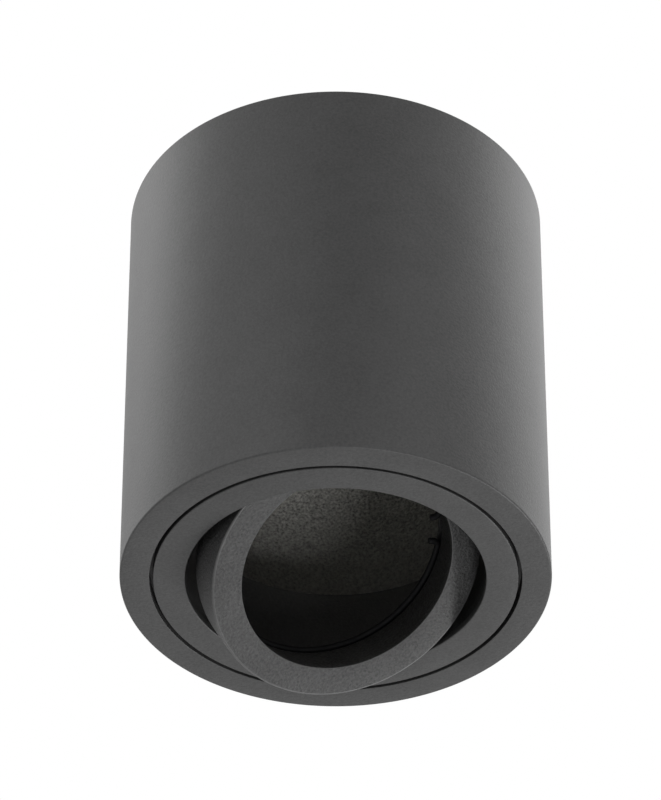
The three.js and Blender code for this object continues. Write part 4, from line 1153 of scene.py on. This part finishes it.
# Camera
def camera():
    """The photograph's camera: under the light, in front of it, looking up at 39 degrees."""
    place, pitch, yaw, roll = (0.0, -0.8456, -0.7324), 0.6801, -0.0013, 0.0005
    ahead = np.array([np.sin(yaw) * np.cos(pitch), np.cos(yaw) * np.cos(pitch), np.sin(pitch)])
    right = np.array([np.cos(yaw), -np.sin(yaw), 0])
    up = np.cross(right, ahead)
    right, up = np.cos(roll) * right + np.sin(roll) * up, np.cos(roll) * up - np.sin(roll) * right
    data = bpy.data.cameras.new("camera")
    data.lens, data.sensor_width = 228.58, 36.0
    data.clip_start, data.clip_end = 0.01, 100.0
    eye = bpy.data.objects.new("camera", data)
    bpy.context.scene.collection.objects.link(eye)
    eye.matrix_world = Matrix([*zip(right, up, -ahead, place), (0, 0, 0, 1)])
    bpy.context.scene.camera = eye


# Studio
CORNERS = ((-1, -1), (1, -1), (1, 1), (-1, 1))


def sheet_of(name, corners, material):
    """Four corners in metres as one face: the floor or a card of the studio."""
    mesh = bpy.data.meshes.new(name)
    mesh.from_pydata(corners, [], [(0, 1, 2, 3)])
    mesh.materials.append(material)
    thing = bpy.data.objects.new(name, mesh)
    bpy.context.scene.collection.objects.link(thing)
    return thing


def square_to(centre, width, height):
    """Corners of a rectangle round a centre, its face towards the light fitting."""
    centre = np.asarray(centre, float)
    ahead = CARD_AIM - centre
    ahead /= np.linalg.norm(ahead)
    side = np.cross(ahead, [0, 0, 1.0])
    side /= np.linalg.norm(side)
    up = np.cross(side, ahead)
    return [tuple(centre + side * a * width / 2 + up * b * height / 2) for a, b in CORNERS]


def soft_box(name, azimuth, elevation, distance, size, level):
    """A square area lamp, placed by its direction from the fitting (0 to the right, -90 to the camera)
    and turned to it. It gives about the level of a white surface times its share of the view."""
    turn, rise = np.radians([azimuth, elevation])
    away = Vector((np.cos(rise) * np.cos(turn), np.cos(rise) * np.sin(turn), np.sin(rise)))
    lamp = bpy.data.lights.new(name, "AREA")
    lamp.shape, lamp.size = "SQUARE", size
    lamp.energy = level * PI * size ** 2
    holder = bpy.data.objects.new(name, lamp)
    holder.location = Vector(LAMP_AIM) + away * distance
    holder.rotation_euler = away.to_track_quat("Z", "Y").to_euler()
    holder.visible_camera = False
    bpy.context.scene.collection.objects.link(holder)


def seen_white(tree):
    """One for what the camera, a reflection or glass sees, and zero for the light on the object."""
    path = add(tree, "ShaderNodeLightPath").outputs
    seen = path["Is Camera Ray"]
    for kind in ("Is Glossy Ray", "Is Transmission Ray"):
        seen = maths(tree, "MAXIMUM", seen, path[kind])
    return seen


def studio():
    """A white room: a white world, a pale floor, a grey card over the camera, and soft boxes."""
    world = bpy.data.worlds.new("studio")
    bpy.context.scene.world = world
    world.use_nodes = True
    tree = world.node_tree
    tree.nodes.clear()
    white = add(tree, "ShaderNodeBackground", {"Color": (1, 1, 1, 1), "Strength": 1.0})
    soft = add(tree, "ShaderNodeBackground", {"Color": (1, 1, 1, 1), "Strength": WORLD_LEVEL})
    mix = add(tree, "ShaderNodeMixShader", {0: seen_white(tree), 1: soft.outputs[0], 2: white.outputs[0]})
    add(tree, "ShaderNodeOutputWorld", {"Surface": mix.outputs[0]})

    pale, tree, shader, _ = new_material("studio_floor", Base_Color=linear("#e6e6e6"), Roughness=0.9)
    glow = add(tree, "ShaderNodeEmission", {"Color": (1, 1, 1, 1), "Strength": 1.0})
    both = add(tree, "ShaderNodeMixShader", {0: seen_white(tree), 1: shader.outputs[0], 2: glow.outputs[0]})
    out = next(node for node in tree.nodes if node.bl_idname == "ShaderNodeOutputMaterial")
    tree.links.new(both.outputs[0], out.inputs["Surface"])
    floor = [(x * FLOOR_HALF, y * FLOOR_HALF, -FLOOR_DROP) for x, y in CORNERS]
    sheet_of("studio_floor", floor, pale)

    grey, *_ = new_material("studio_card", Base_Color=linear("#8a8a8a"), Roughness=0.9)
    card = sheet_of("grey_card", square_to(CARD_PLACE, *CARD_SIZE), grey)
    card.visible_camera = False
    for box in BOXES:
        soft_box(*box)


camera()
studio()
bpy.context.scene.view_settings.view_transform = "Standard"
